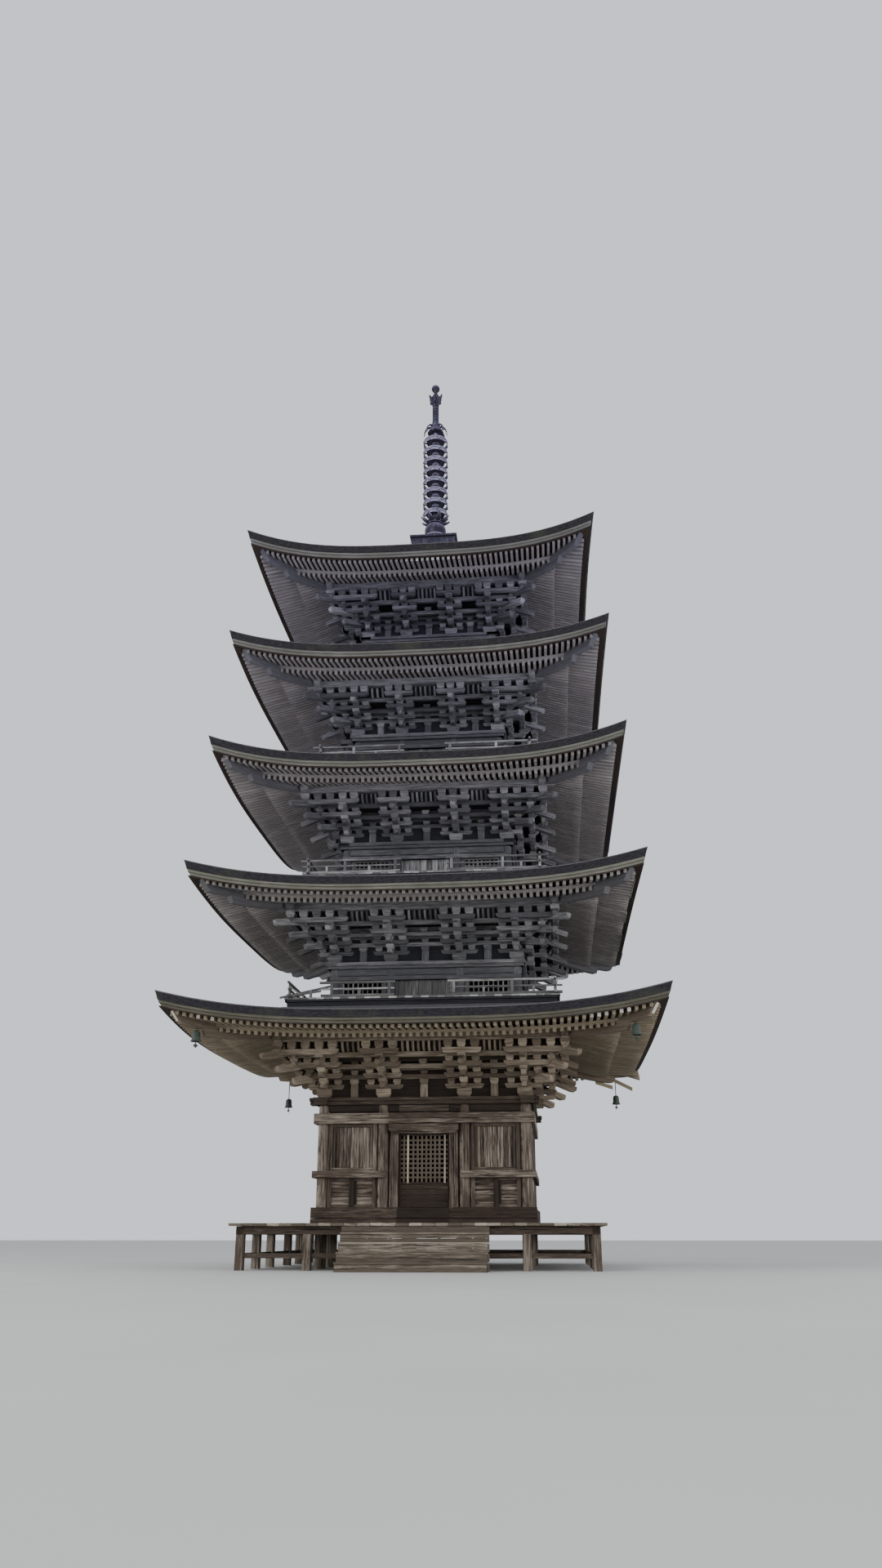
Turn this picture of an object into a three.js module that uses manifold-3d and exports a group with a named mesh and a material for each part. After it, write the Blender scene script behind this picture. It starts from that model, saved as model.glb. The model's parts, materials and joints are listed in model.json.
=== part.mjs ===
// A five-storey timber pagoda, three bays square, with shingled roofs and a bronze spire.
// Millimetres, +Z up, front towards -Y. The origin is on the ground under the middle of the tower.
import * as THREE from "three";
import { mergeVertices } from "three/addons/utils/BufferGeometryUtils.js";
import Module from "manifold-3d";

const wasm = await Module();
wasm.setup();

// Clearance between pieces that touch
const GAP = 0.3;

// Driving dimensions of the five storeys.
// Half widths: body at the faces of the columns, bay at the inner columns, deck at the edge of the floor.
// Heights: floor, top of the wall plate and underside of the eaves purlin.
// Roof edge: half width and height at mid side, then at the corners.
// Rafters: how far below the roof edge the flying ones start and the base ones end.
function storeyOf([body, bay, deck], [floor, plateTop, purlin], edge, corner, rafters) {
  const [[eave, eaveTop], [tip, tipTop], [flyingRoot, baseEnd]] = [edge, corner, rafters];
  return { body, bay, deck, floor, plateTop, purlin, eave, eaveTop, tip, tipTop, flyingRoot, baseEnd };
}
const FLAT_RAFTERS = [350, 520];
const STEEP_RAFTERS = [220, 420];
const STOREYS = [
  storeyOf([2750, 1050, 4480], [1050, 4100, 5440], [6050, 5810], [6200, 6320], FLAT_RAFTERS),
  storeyOf([2600, 930, 3600], [6570, 7680, 8920], [5680, 9220], [5860, 9720], STEEP_RAFTERS),
  storeyOf([2390, 840, 3300], [10030, 11160, 12370], [5450, 12660], [5570, 13300], STEEP_RAFTERS),
  storeyOf([2190, 760, 3120], [13510, 14590, 15750], [5190, 16060], [5300, 16640], STEEP_RAFTERS),
  storeyOf([1990, 690, 2920], [16910, 17960, 19150], [4900, 19410], [5060, 20090], STEEP_RAFTERS),
];
const [GROUND] = STOREYS;

// Columns and the plate that lies on them
const COLUMN_RADIUS = 150;
const UPPER_COLUMN_RADIUS = 130;
const COLUMN_SIDES = 8;
const UPPER_COLUMN_SIDES = 8;
const PLATE_HEIGHT = 180;
const PLATE_OVERRUN = 110;
const PLATE_INSIDE = 150;

// Bracket complexes: three steps out from the column line to the eaves purlin
const STEP = 355;
const BLOCK_HEIGHT = 200;
const BLOCK_HALF = 150;
const ARM_WIDTH = 140;
const ARM_END = 90;
const PURLIN_HALF = 100;
const PURLIN_HEIGHT = 200;
const INFILL_INSIDE = 100;
const INFILL_OUTSIDE = 60;

// Eaves: depths below the top of the shingle edge
const SHINGLE_EDGE = 200;
const SHINGLE_UNDERCUT = 60;
const EAVE_BOARD_DROP = 340;
const FLYING_RAFTER_SETBACK = 250;
const FLYING_RAFTER_DROP = 430;
const BASE_RAFTER_SETBACK = 1050;
const SOFFIT_INSIDE_RISE = 180;
const ROOF_THICKNESS = 220;
const ROOF_ROW = 1400;
const STEPS_PER_SIDE = 6;
const CORNER_POWER = 3.3;

// Roof slope: gentle near the edge and steeper further in
const ROOF_SLOPE = 0.16;
const ROOF_BEND = 2.2e-5;
const CREST_HALF = 730;
const CREST_Z = 21950;
const CREST_ROW = 1300;
const CREST_CURVE = 1.25;
const CREST_THICKNESS = 330;

// Decks, balustrades and the openings of the upper storeys
const DECK_THICKNESS = 110;
const WAIST_SETBACK = 30;
const WAIST_THICKNESS = 100;
const RAIL_HEIGHT = 410;
const RAIL_THICKNESS = 60;
const RAIL_BAR = 60;
const RAIL_GAP_HALF = 650;
const RAIL_SETBACK = 90;
const WALL_HALF = 50;
const DOOR_BOARD_HALF = 25;
const OPENING_SILL = 190;
const OPENING_HEAD = 620;
const WINDOW_MARGIN = 90;
const DOOR_MARGIN = 60;

// Ground storey rails, from the sill up
const SILL_TOP = 1430;
const RAIL_PROUD = 90;
const MIDDLE_RAIL = [2130, 2300];
const TOP_RAIL = [3450, 3710];
const HEAD_TIE_BOTTOM = 3750;
const HEAD_TIE_HALF = 100;
const ROOM_FLOOR = [990, 1110];

// Doorway, its frame and its lattice leaf
const DOOR_HALF = 650;
const JAMB_WIDTH = 120;
const JAMB_FACE = 2700;
const DOORWAY_TOP = 3200;
const LINTEL_HALF = 890;
const LEAF_CLEARANCE = 8;
const HINGE_SIDE_CLEARANCE = 22;
const HINGE_INSET = 22;
const LEAF_FACE = 2640;
const LEAF_THICKNESS = 60;
const LEAF_STILE = 40;
const LEAF_PANEL_TOP = 2030;
const LEAF_MULLIONS = [-410, 530];
const LEAF_MULLION_HALF = 25;
const PIVOT_RADIUS = 20;
const PIVOT_SIDES = 12;
const PIVOT_LENGTH = 40;
const PIVOT_CLEARANCE = 1.5;
const HINGE_X = -DOOR_HALF + HINGE_SIDE_CLEARANCE + HINGE_INSET;
const HINGE_Y = -LEAF_FACE + LEAF_THICKNESS / 2;

// Veranda round the ground storey
const VERANDA_THICKNESS = 70;
const VERANDA_INNER_GAP = 5;
const VERANDA_BEAM_BOTTOM = 790;
const VERANDA_POST_LINE = 4220;
const VERANDA_POST_HALF = 100;
const VERANDA_RAIL = [270, 380];
const VERANDA_RAIL_HALF = 40;
const STAIR_HALF_WIDTH = 1740;
const STAIR_STEPS = 5;
const STAIR_TREAD = 250;
const STAIR_BOARD = 50;

// Spire, from the top of its square base upwards
const SPIRE_BASE_TOP = 22450;
const SPIRE_RIM_HEIGHT = 60;
const SPIRE_RIM_PROUD = 50;
const SPIRE_SIDES = 16;
const RING_SIDES = 8;
const NECK_RADIUS = 180;
const MAST_RADIUS = 90;
const SHAFT_RADIUS = 110;
// Outline of the bowl with its flange: radius and height above the base
const BOWL_OUTLINE = [[330, 0], [330, 270], [370, 290], [370, 350], [330, 380], [360, 600], [310, 760]];
const BOWL_TOP = 23300;
const MAST_BOTTOM = 23500;
// Outline of the lotus: radius and height above the bowl
const LOTUS_OUTLINE = [[270, 20], [360, 70], [520, 215], [480, 230], [290, 110], [140, 90]];
const LOTUS_HEART_RADIUS = 140;
const RING_COUNT = 8;
const FIRST_RING = 23645;
const RING_PITCH = 427;
const RING_RADIUS = 420;
const RING_HEIGHT = 170;
const RING_WALL = 30;
const RING_WEB = 40;
const CANOPY_BOTTOM = 27060;
const CANOPY_TOP = 27460;
// Outline of the canopy: radius and height above its lower rim
const CANOPY_OUTLINE = [[270, 0], [270, 60], [150, 280], [120, 400]];
const FLAME_BOTTOM = 28330;
const FLAME_TOP = 28780;
const FLAME_HALF = 250;
const FLAME_LOBE = 140;
const FLAME_PLATE = 50;
const JEWEL_RADIUS = 145;
const JEWEL_NECK_RADIUS = 70;
const JEWEL_ROWS = 8;
const TOTAL_HEIGHT = 29200;

// Colours of the weathered timber, the shingles and the bronze
const groundWood = new THREE.MeshStandardMaterial({ color: 0x6f5f55, roughness: 0.9, metalness: 0 });
const upperWood = new THREE.MeshStandardMaterial({ color: 0x605b55, roughness: 0.9, metalness: 0 });
const paleWood = new THREE.MeshStandardMaterial({ color: 0x8d8a82, roughness: 0.9, metalness: 0 });
const shingle = new THREE.MeshStandardMaterial({ color: 0x37323a, roughness: 0.95, metalness: 0 });
const bronze = new THREE.MeshStandardMaterial({ color: 0x5c5866, roughness: 0.5, metalness: 0.8 });

const pagoda = new THREE.Group();
pagoda.name = "pagoda";

// Makes a solid from a closed geometry, with its faces pointing out
function solid(geometry) {
  const bare = geometry.clone();
  bare.deleteAttribute("normal");
  bare.deleteAttribute("uv");
  const merged = mergeVertices(bare, 1e-3);
  const corners = merged.index.array;
  const place = merged.attributes.position;
  const faces = [];
  let volume = 0;
  const [a, b, c] = [new THREE.Vector3(), new THREE.Vector3(), new THREE.Vector3()];
  for (let i = 0; i < corners.length; i += 3) {
    const [p, q, r] = [corners[i], corners[i + 1], corners[i + 2]];
    if (p === q || q === r || r === p) continue;
    faces.push([p, q, r]);
    a.fromBufferAttribute(place, p);
    b.fromBufferAttribute(place, q);
    c.fromBufferAttribute(place, r);
    volume += a.dot(b.cross(c));
  }
  const outward = volume > 0 ? faces : faces.map(([p, q, r]) => [p, r, q]);
  const triVerts = new Uint32Array(outward.flat());
  return new wasm.Manifold(new wasm.Mesh({ numProp: 3, vertProperties: place.array, triVerts }));
}

function join(pieces) {
  return pieces.reduce((whole, piece) => whole.add(piece));
}

function cut(whole, pieces) {
  return pieces.reduce((rest, piece) => rest.subtract(piece), whole);
}

// Adds a solid to the pagoda as a named mesh
function addPiece(name, whole, material) {
  const { vertProperties, triVerts } = whole.getMesh();
  const geometry = new THREE.BufferGeometry();
  geometry.setAttribute("position", new THREE.BufferAttribute(vertProperties, 3));
  geometry.setIndex(new THREE.BufferAttribute(triVerts, 1));
  geometry.computeVertexNormals();
  const mesh = new THREE.Mesh(geometry, material.clone());
  mesh.name = name;
  pagoda.add(mesh);
}

function box([x0, x1], [y0, y1], [z0, z1]) {
  const geometry = new THREE.BoxGeometry(x1 - x0, y1 - y0, z1 - z0);
  geometry.translate((x0 + x1) / 2, (y0 + y1) / 2, (z0 + z1) / 2);
  return solid(geometry);
}

// A post with flat faces that touch a circle, one of them to the front
function column(x, y, radius, sides, [z0, z1]) {
  const corner = radius / Math.cos(Math.PI / sides);
  const geometry = new THREE.CylinderGeometry(corner, corner, z1 - z0, sides);
  geometry.rotateY(Math.PI / sides);
  geometry.rotateX(Math.PI / 2);
  geometry.translate(x, y, (z0 + z1) / 2);
  return solid(geometry);
}

// Turns a profile of [distance, height] points round the axis
function turned(profile, sides) {
  const points = profile.map(([r, z]) => new THREE.Vector2(r, z));
  const geometry = new THREE.LatheGeometry(points, sides);
  geometry.rotateX(Math.PI / 2);
  return solid(geometry);
}

// A mitred square ring: the profile's distances are half widths of the square
function squareRing(profile) {
  const points = profile.map(([r, z]) => new THREE.Vector2(r * Math.SQRT2, z));
  const geometry = new THREE.LatheGeometry(points, 4, Math.PI / 4);
  geometry.rotateX(Math.PI / 2);
  return solid(geometry);
}

function plainRing([inside, outside], [z0, z1]) {
  return squareRing([[inside, z0], [outside, z0], [outside, z1], [inside, z1], [inside, z0]]);
}

function quarterTurned(piece, quarters) {
  return piece.rotate([0, 0, 90 * quarters]);
}

function onFourSides(piece) {
  return [0, 1, 2, 3].map((quarters) => quarterTurned(piece, quarters));
}

// Distance of the column line from the axis
function columnLine(storey) {
  return storey.body - (storey === GROUND ? COLUMN_RADIUS : UPPER_COLUMN_RADIUS);
}

function purlinLine(storey) {
  return columnLine(storey) + 3 * STEP;
}

function columnOffsets(storey) {
  const line = columnLine(storey);
  return [-line, -storey.bay, storey.bay, line];
}

// A ring that follows the eaves: its corners sweep up and out, fading to nothing at the purlin
function eavesRing(profile, storey) {
  const points = profile.map(([r, z]) => new THREE.Vector2(r, z));
  const steps = 4 * STEPS_PER_SIDE;
  const geometry = new THREE.LatheGeometry(points, steps);
  const place = geometry.attributes.position;
  const start = purlinLine(storey);
  for (let i = 0; i <= steps; i++) {
    const turn = (Math.floor(i / STEPS_PER_SIDE) * Math.PI) / 2;
    const along = Math.sin(((i % STEPS_PER_SIDE) / STEPS_PER_SIDE - 0.5) * Math.PI);
    profile.forEach(([r, z], j) => {
      const fade = Math.max(0, (r - start) / (storey.eave - start)) ** 1.5;
      const sweep = Math.abs(along) ** CORNER_POWER * fade;
      const reach = r + sweep * (storey.tip - storey.eave);
      const [x, y] = [reach * along, -reach];
      const [sin, cos] = [Math.sin(turn), Math.cos(turn)];
      const height = z + sweep * (storey.tipTop - storey.eaveTop);
      place.setXYZ(i * profile.length + j, x * cos - y * sin, x * sin + y * cos, height);
    });
  }
  return solid(geometry);
}

function roofTop(storey, r) {
  const inward = storey.eave - r;
  return storey.eaveTop + ROOF_SLOPE * inward + ROOF_BEND * inward ** 2;
}

// Height of the underside of the rafters at a distance from the axis, inside the purlin
function soffit(storey, r) {
  const outer = purlinLine(storey) + PURLIN_HALF;
  const inner = columnLine(storey) - PLATE_INSIDE;
  const atPurlin = storey.purlin + PURLIN_HEIGHT;
  const rise = storey.eaveTop + SOFFIT_INSIDE_RISE - atPurlin;
  return atPurlin + (rise * (outer - r)) / (outer - inner);
}

// Distances at which the roof and the eaves frame below it share points
function roofRows(storey) {
  return [storey.eave - SHINGLE_UNDERCUT, storey.eave - ROOF_ROW];
}

// Bracket complexes of one storey with the infill wall behind them and the eaves purlin
function brackets(storey) {
  const line = columnLine(storey);
  const purlin = purlinLine(storey);
  const base = storey.plateTop + GAP;
  const firstArm = base + BLOCK_HEIGHT;
  const armTop = storey.purlin;
  const tier = (armTop - firstArm) / 3;
  const inner = line - INFILL_INSIDE;
  const outer = line + INFILL_OUTSIDE;
  const infill = squareRing([
    [inner, base],
    [outer, base],
    [outer, soffit(storey, outer) - GAP],
    [inner, soffit(storey, inner) - GAP],
    [inner, base],
  ]);
  const purlinRing = squareRing([
    [purlin - PURLIN_HALF, armTop],
    [purlin + PURLIN_HALF, armTop],
    [purlin + PURLIN_HALF, soffit(storey, purlin + PURLIN_HALF) - GAP],
    [purlin - PURLIN_HALF, soffit(storey, purlin - PURLIN_HALF) - GAP],
    [purlin - PURLIN_HALF, armTop],
  ]);
  const arm = steppedArm(line, firstArm, tier, 1);
  const arms = [-storey.bay, storey.bay].map((x) => arm.translate([x, 0, 0]));
  const cornerArm = steppedArm(line, firstArm, tier, Math.SQRT2).rotate([0, 0, 45]);
  const block = [-BLOCK_HALF, BLOCK_HALF];
  const blockDepth = [-line - BLOCK_HALF, -inner - 1];
  const blocks = columnOffsets(storey)
    .slice(0, 3)
    .map((x) => box(block, blockDepth, [base, firstArm + 1]).translate([x, 0, 0]));
  const sides = [...arms, ...blocks, cornerArm].flatMap(onFourSides);
  return join([infill, purlinRing, ...sides]);
}

// One bracket arm on the front side, stepping out under the eaves
function steppedArm(line, bottom, tier, stretch) {
  const reach = (steps) => (line + steps * STEP) * stretch + ARM_END;
  const shape = new THREE.Shape();
  shape.moveTo(line * stretch, bottom);
  for (let i = 0; i < 3; i++) {
    shape.lineTo(reach(i + 1), bottom + i * tier);
    shape.lineTo(reach(i + 1), bottom + (i + 1) * tier);
  }
  shape.lineTo(line * stretch, bottom + 3 * tier);
  return acrossFront(shape, ARM_WIDTH);
}

function shapeOf(points) {
  return new THREE.Shape(points.map(([x, y]) => new THREE.Vector2(x, y)));
}

// Extrudes a shape of [distance, height] and stands it square to the front side
function acrossFront(shape, width) {
  const geometry = new THREE.ExtrudeGeometry(shape, { depth: width, bevelEnabled: false });
  geometry.translate(0, 0, -width / 2);
  const towardsFront = new THREE.Vector3(0, -1, 0);
  const up = new THREE.Vector3(0, 0, 1);
  const aside = new THREE.Vector3(-1, 0, 0);
  geometry.applyMatrix4(new THREE.Matrix4().makeBasis(towardsFront, up, aside));
  return solid(geometry);
}

// Rafters and boards under one roof, as one shell
function eaveFrame(storey, roofUnderside) {
  const inside = columnLine(storey) - PLATE_INSIDE;
  const { eave, eaveTop } = storey;
  const outer = purlinLine(storey) + PURLIN_HALF;
  const top = [...roofRows(storey), inside].map((r) => [r, roofUnderside(r) - GAP]);
  const profile = [
    ...top,
    [inside, soffit(storey, inside)],
    [outer, soffit(storey, outer)],
    [eave - BASE_RAFTER_SETBACK, eaveTop - storey.baseEnd],
    [eave - BASE_RAFTER_SETBACK, eaveTop - storey.flyingRoot],
    [eave - FLYING_RAFTER_SETBACK, eaveTop - FLYING_RAFTER_DROP],
    [eave - FLYING_RAFTER_SETBACK, eaveTop - EAVE_BOARD_DROP],
    [eave - SHINGLE_UNDERCUT, eaveTop - EAVE_BOARD_DROP],
    top[0],
  ];
  return eavesRing(profile.toReversed(), storey);
}

// Underside of a shingled roof: a straight line in from the bottom of its edge
function undersideOf(storey, innerHeight) {
  const inside = columnLine(storey) - PLATE_INSIDE;
  const edge = storey.eave - SHINGLE_UNDERCUT;
  const low = storey.eaveTop - SHINGLE_EDGE;
  return (r) => low + ((innerHeight - low) * (edge - r)) / (edge - inside);
}

function addRoof(storey, number) {
  const above = STOREYS[number];
  const inside = columnLine(storey) - PLATE_INSIDE;
  const rows = roofRows(storey);
  if (above) {
    const ledge = roofTop(storey, above.deck);
    const underside = undersideOf(storey, ledge - ROOF_THICKNESS);
    const roof = eavesRing(
      [
        [storey.eave, storey.eaveTop],
        ...rows.slice(1).map((r) => [r, roofTop(storey, r)]),
        [above.deck, ledge],
        [inside, ledge],
        [inside, underside(inside)],
        ...rows.toReversed().map((r) => [r, underside(r)]),
        [storey.eave, storey.eaveTop],
      ],
      storey,
    );
    addPiece(`roof_${number}`, roof, shingle);
    addPiece(`eave_frame_${number}`, eaveFrame(storey, underside), upperWood);
    return;
  }
  // The top roof rises in a hollow curve to the square crest under the spire
  const rise = CREST_Z - storey.eaveTop;
  const run = storey.eave - CREST_HALF;
  const climb = (r) => storey.eaveTop + rise * ((storey.eave - r) / run) ** CREST_CURVE;
  const underside = undersideOf(storey, climb(inside) - CREST_THICKNESS);
  const profile = [
    [0, CREST_Z],
    [CREST_HALF, CREST_Z],
    ...[CREST_ROW, inside, ...rows.slice(1).toReversed()].map((r) => [r, climb(r)]),
    [storey.eave, storey.eaveTop],
    ...rows.map((r) => [r, underside(r)]),
    [inside, underside(inside)],
    [CREST_ROW, climb(CREST_ROW) - CREST_THICKNESS],
    [0, CREST_Z - CREST_THICKNESS],
  ];
  const roof = eavesRing(profile.toReversed(), storey);
  addPiece(`roof_${number}`, roof, shingle);
  addPiece(`eave_frame_${number}`, eaveFrame(storey, underside), upperWood);
}

// Balustrade on one half of the front side, from the gap at the doors to the corner
function balustradeHalf(storey) {
  const [x0, x1] = [RAIL_GAP_HALF, storey.deck - RAIL_SETBACK];
  const depth = [-x1, -x1 + RAIL_THICKNESS];
  const cutDepth = [depth[0] - 1, depth[1] + 1];
  const panel = box([x0, x1], depth, [storey.floor - 1, storey.floor + RAIL_HEIGHT]);
  const row = (RAIL_HEIGHT - RAIL_BAR) / 2;
  const holes = [0, 1].map((i) => {
    const low = storey.floor + RAIL_BAR + i * row;
    return box([x0 + RAIL_BAR, x1 - RAIL_BAR], cutDepth, [low, low + row - RAIL_BAR]);
  });
  return cut(panel, holes);
}

// Floor of an upper storey with its deck, the boards under its edge, its balustrade and its shut doors
function balcony(storey, below) {
  const { deck, floor } = storey;
  const slab = box([-deck, deck], [-deck, deck], [floor - DECK_THICKNESS, floor]);
  const waistOut = deck - WAIST_SETBACK;
  const waistIn = waistOut - WAIST_THICKNESS;
  const ledge = roofTop(below, deck) + GAP;
  const waist = plainRing([waistIn, waistOut], [ledge, floor - DECK_THICKNESS + 1]);
  const half = balustradeHalf(storey);
  const line = columnLine(storey);
  const door = doorHalf(storey) - GAP;
  const doorDepth = [-line - DOOR_BOARD_HALF, -line + DOOR_BOARD_HALF];
  const doors = box([-door, door], doorDepth, [floor - 1, floor + OPENING_HEAD]);
  const sides = [half, half.mirror([1, 0, 0]), doors].flatMap(onFourSides);
  return join([slab, waist, ...sides]);
}

function doorHalf(storey) {
  return storey.bay - UPPER_COLUMN_RADIUS - DOOR_MARGIN;
}

// Clear width of an upper window, between its inner column and the corner column
function windowSpan(storey) {
  const edge = UPPER_COLUMN_RADIUS + WINDOW_MARGIN;
  return [storey.bay + edge, columnLine(storey) - edge];
}

// Columns of an upper storey and the walls between them, with their openings
function upperWalls(storey) {
  const line = columnLine(storey);
  const heights = [storey.floor + GAP, storey.plateTop - PLATE_HEIGHT];
  const walls = plainRing([line - WALL_HALF, line + WALL_HALF], heights);
  const columns = columnOffsets(storey)
    .slice(0, 3)
    .flatMap((x) => onFourSides(column(x, -line, UPPER_COLUMN_RADIUS, UPPER_COLUMN_SIDES, heights)));
  const depth = [-line - 2 * WALL_HALF, -line + 2 * WALL_HALF];
  const [near, far] = windowSpan(storey);
  const head = storey.floor + OPENING_HEAD;
  const holes = [
    box([near, far], depth, [storey.floor + OPENING_SILL, head]),
    box([-far, -near], depth, [storey.floor + OPENING_SILL, head]),
    box([-doorHalf(storey), doorHalf(storey)], depth, [storey.floor - 1, head + GAP]),
  ];
  return cut(join([walls, ...columns]), holes.flatMap(onFourSides));
}

// Ring of broad timbers that lies on the columns of a storey
function plate(storey) {
  const span = [columnLine(storey) - PLATE_INSIDE, storey.body + PLATE_OVERRUN];
  return plainRing(span, [storey.plateTop - PLATE_HEIGHT + GAP, storey.plateTop]);
}

// A rail over the outside of the ground-storey columns, and the part of it between them
function groundRail([bandFrom, bandTo], [innerFrom, innerTo], heights, back) {
  const band = box([bandFrom, bandTo], [-GROUND.body - RAIL_PROUD, -GROUND.body - GAP], heights);
  return band.add(box([innerFrom, innerTo], [-GROUND.body - 2 * GAP, back], heights));
}

// One stretch of ground-storey wall on the front side: columns, rails, head tie and boarding.
// Each rail may end at a place of its own, given in ends as sill, middle and top.
function groundWall([from, to], offsets, bandFrom, ends) {
  const line = columnLine(GROUND);
  const top = GROUND.plateTop - PLATE_HEIGHT;
  const slabDepth = [-line - WALL_HALF, -line + WALL_HALF];
  const slab = box([from, to], slabDepth, [GROUND.floor + GAP, top]);
  const tieDepth = [-line - HEAD_TIE_HALF, -line + HEAD_TIE_HALF];
  const tie = box([from, to], tieDepth, [HEAD_TIE_BOTTOM, top]);
  const face = -line - WALL_HALF + 1;
  const spans = ends.map((end) => [[bandFrom, end], [from, Math.min(to, end)]]);
  const rails = [
    groundRail(...spans[0], [GROUND.floor + GAP, SILL_TOP], -line + COLUMN_RADIUS),
    groundRail(...spans[1], MIDDLE_RAIL, face),
    groundRail(...spans[2], TOP_RAIL, face),
  ];
  const columns = offsets.map((x) => column(x, -line, COLUMN_RADIUS, COLUMN_SIDES, [0, top]));
  return join([slab, tie, ...rails, ...columns]);
}

function addGroundWalls() {
  const line = columnLine(GROUND);
  const corner = GROUND.body + RAIL_PROUD;
  const { bay } = GROUND;
  const besideDoor = [-DOOR_HALF - GAP, -bay, -LINTEL_HALF - GAP];
  const jambSpan = [-DOOR_HALF - JAMB_WIDTH, -DOOR_HALF];
  const jamb = box(jambSpan, [-JAMB_FACE, -line + WALL_HALF], [SILL_TOP - 1, DOORWAY_TOP]);
  const left = groundWall([-line, -DOOR_HALF], [-line, -bay], -corner, besideDoor).add(jamb);
  addPiece("front_wall_left", left, groundWood);
  addPiece("front_wall_right", left.mirror([1, 0, 0]), groundWood);

  const whole = groundWall([-line, line], columnOffsets(GROUND), -corner, [corner, corner, corner]);
  addPiece("back_wall", quarterTurned(whole, 2), groundWood);

  const between = line - COLUMN_RADIUS - GAP;
  const wrap = GROUND.body - GAP;
  const side = groundWall([-between, between], [-bay, bay], -wrap, [wrap, wrap, wrap]);
  addPiece("left_wall", quarterTurned(side, 3), groundWood);
  addPiece("right_wall", quarterTurned(side, 1), groundWood);

  addPiece("room_floor", box([-between, between], [-between, between], ROOM_FLOOR), groundWood);
  addPiece("plate_1", plate(GROUND), groundWood);
}

// Sill and lintel of the doorway, each with a socket for a pivot of the leaf
function addDoorway() {
  const line = columnLine(GROUND);
  const face = -GROUND.body - RAIL_PROUD;
  const opening = [-DOOR_HALF + GAP, DOOR_HALF - GAP];
  const sill = box(opening, [face, -line + COLUMN_RADIUS], [GROUND.floor + GAP, SILL_TOP]);
  const socketRadius = PIVOT_RADIUS + PIVOT_CLEARANCE;
  const lowEnd = SILL_TOP + LEAF_CLEARANCE - PIVOT_LENGTH - GAP;
  const lowSocket = column(HINGE_X, HINGE_Y, socketRadius, PIVOT_SIDES, [lowEnd, SILL_TOP + 1]);
  addPiece("door_sill", sill.subtract(lowSocket), groundWood);

  const top = GROUND.plateTop - PLATE_HEIGHT;
  const lintelDepth = [face, -JAMB_FACE - GAP];
  const lintel = box([-LINTEL_HALF, LINTEL_HALF], lintelDepth, [DOORWAY_TOP, TOP_RAIL[1]]);
  const panel = box(opening, [-JAMB_FACE - 1, -line + HEAD_TIE_HALF], [DOORWAY_TOP, top]);
  const highSpan = [DOORWAY_TOP - 1, DOORWAY_TOP + PIVOT_LENGTH];
  const highSocket = column(HINGE_X, HINGE_Y, socketRadius, PIVOT_SIDES, highSpan);
  addPiece("door_head", lintel.add(panel).subtract(highSocket), groundWood);
}

// The door leaf: boards below, an open frame for the lattice above, a pivot at each end of one stile
function addDoorLeaf() {
  const [bottom, top] = [SILL_TOP + LEAF_CLEARANCE, DOORWAY_TOP - LEAF_CLEARANCE];
  const sides = [-DOOR_HALF + HINGE_SIDE_CLEARANCE, DOOR_HALF - LEAF_CLEARANCE];
  const depth = [-LEAF_FACE, -LEAF_FACE + LEAF_THICKNESS];
  const cutDepth = [depth[0] - 1, depth[1] + 1];
  const posts = [sides[0], ...LEAF_MULLIONS, sides[1]];
  const leaf = box(sides, depth, [bottom, top]);
  const holes = posts.slice(1).map((x, i) => {
    const left = posts[i] + (i === 0 ? LEAF_STILE : LEAF_MULLION_HALF);
    const right = x - (i === posts.length - 2 ? LEAF_STILE : LEAF_MULLION_HALF);
    return box([left, right], cutDepth, [LEAF_PANEL_TOP, top - LEAF_STILE]);
  });
  const pivots = [
    column(HINGE_X, HINGE_Y, PIVOT_RADIUS, PIVOT_SIDES, [bottom - PIVOT_LENGTH, bottom + 1]),
    column(HINGE_X, HINGE_Y, PIVOT_RADIUS, PIVOT_SIDES, [top - 1, top + PIVOT_LENGTH]),
  ];
  addPiece("door_leaf", join([cut(leaf, holes), ...pivots]), groundWood);
}

// Veranda: posts that stand on the ground, tied by a beam and a rail, and the boarded floor on them
function addVeranda() {
  const line = VERANDA_POST_LINE;
  const half = VERANDA_POST_HALF;
  const floorBottom = GROUND.floor - VERANDA_THICKNESS;
  const beam = plainRing([line - half, line + half], [VERANDA_BEAM_BOTTOM, floorBottom - GAP]);
  const rail = plainRing([line - VERANDA_RAIL_HALF, line + VERANDA_RAIL_HALF], VERANDA_RAIL);
  const postDepth = [-line - half, -line + half];
  const postHeights = [0, VERANDA_BEAM_BOTTOM + 1];
  const posts = [-line, ...columnOffsets(GROUND)].flatMap((x) =>
    onFourSides(box([x - half, x + half], postDepth, postHeights)),
  );
  addPiece("veranda_frame", join([beam, rail, ...posts]), groundWood);
  const floorSpan = [GROUND.body + VERANDA_INNER_GAP, GROUND.deck];
  addPiece("veranda_floor", plainRing(floorSpan, [floorBottom, GROUND.floor]), paleWood);
}

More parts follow.
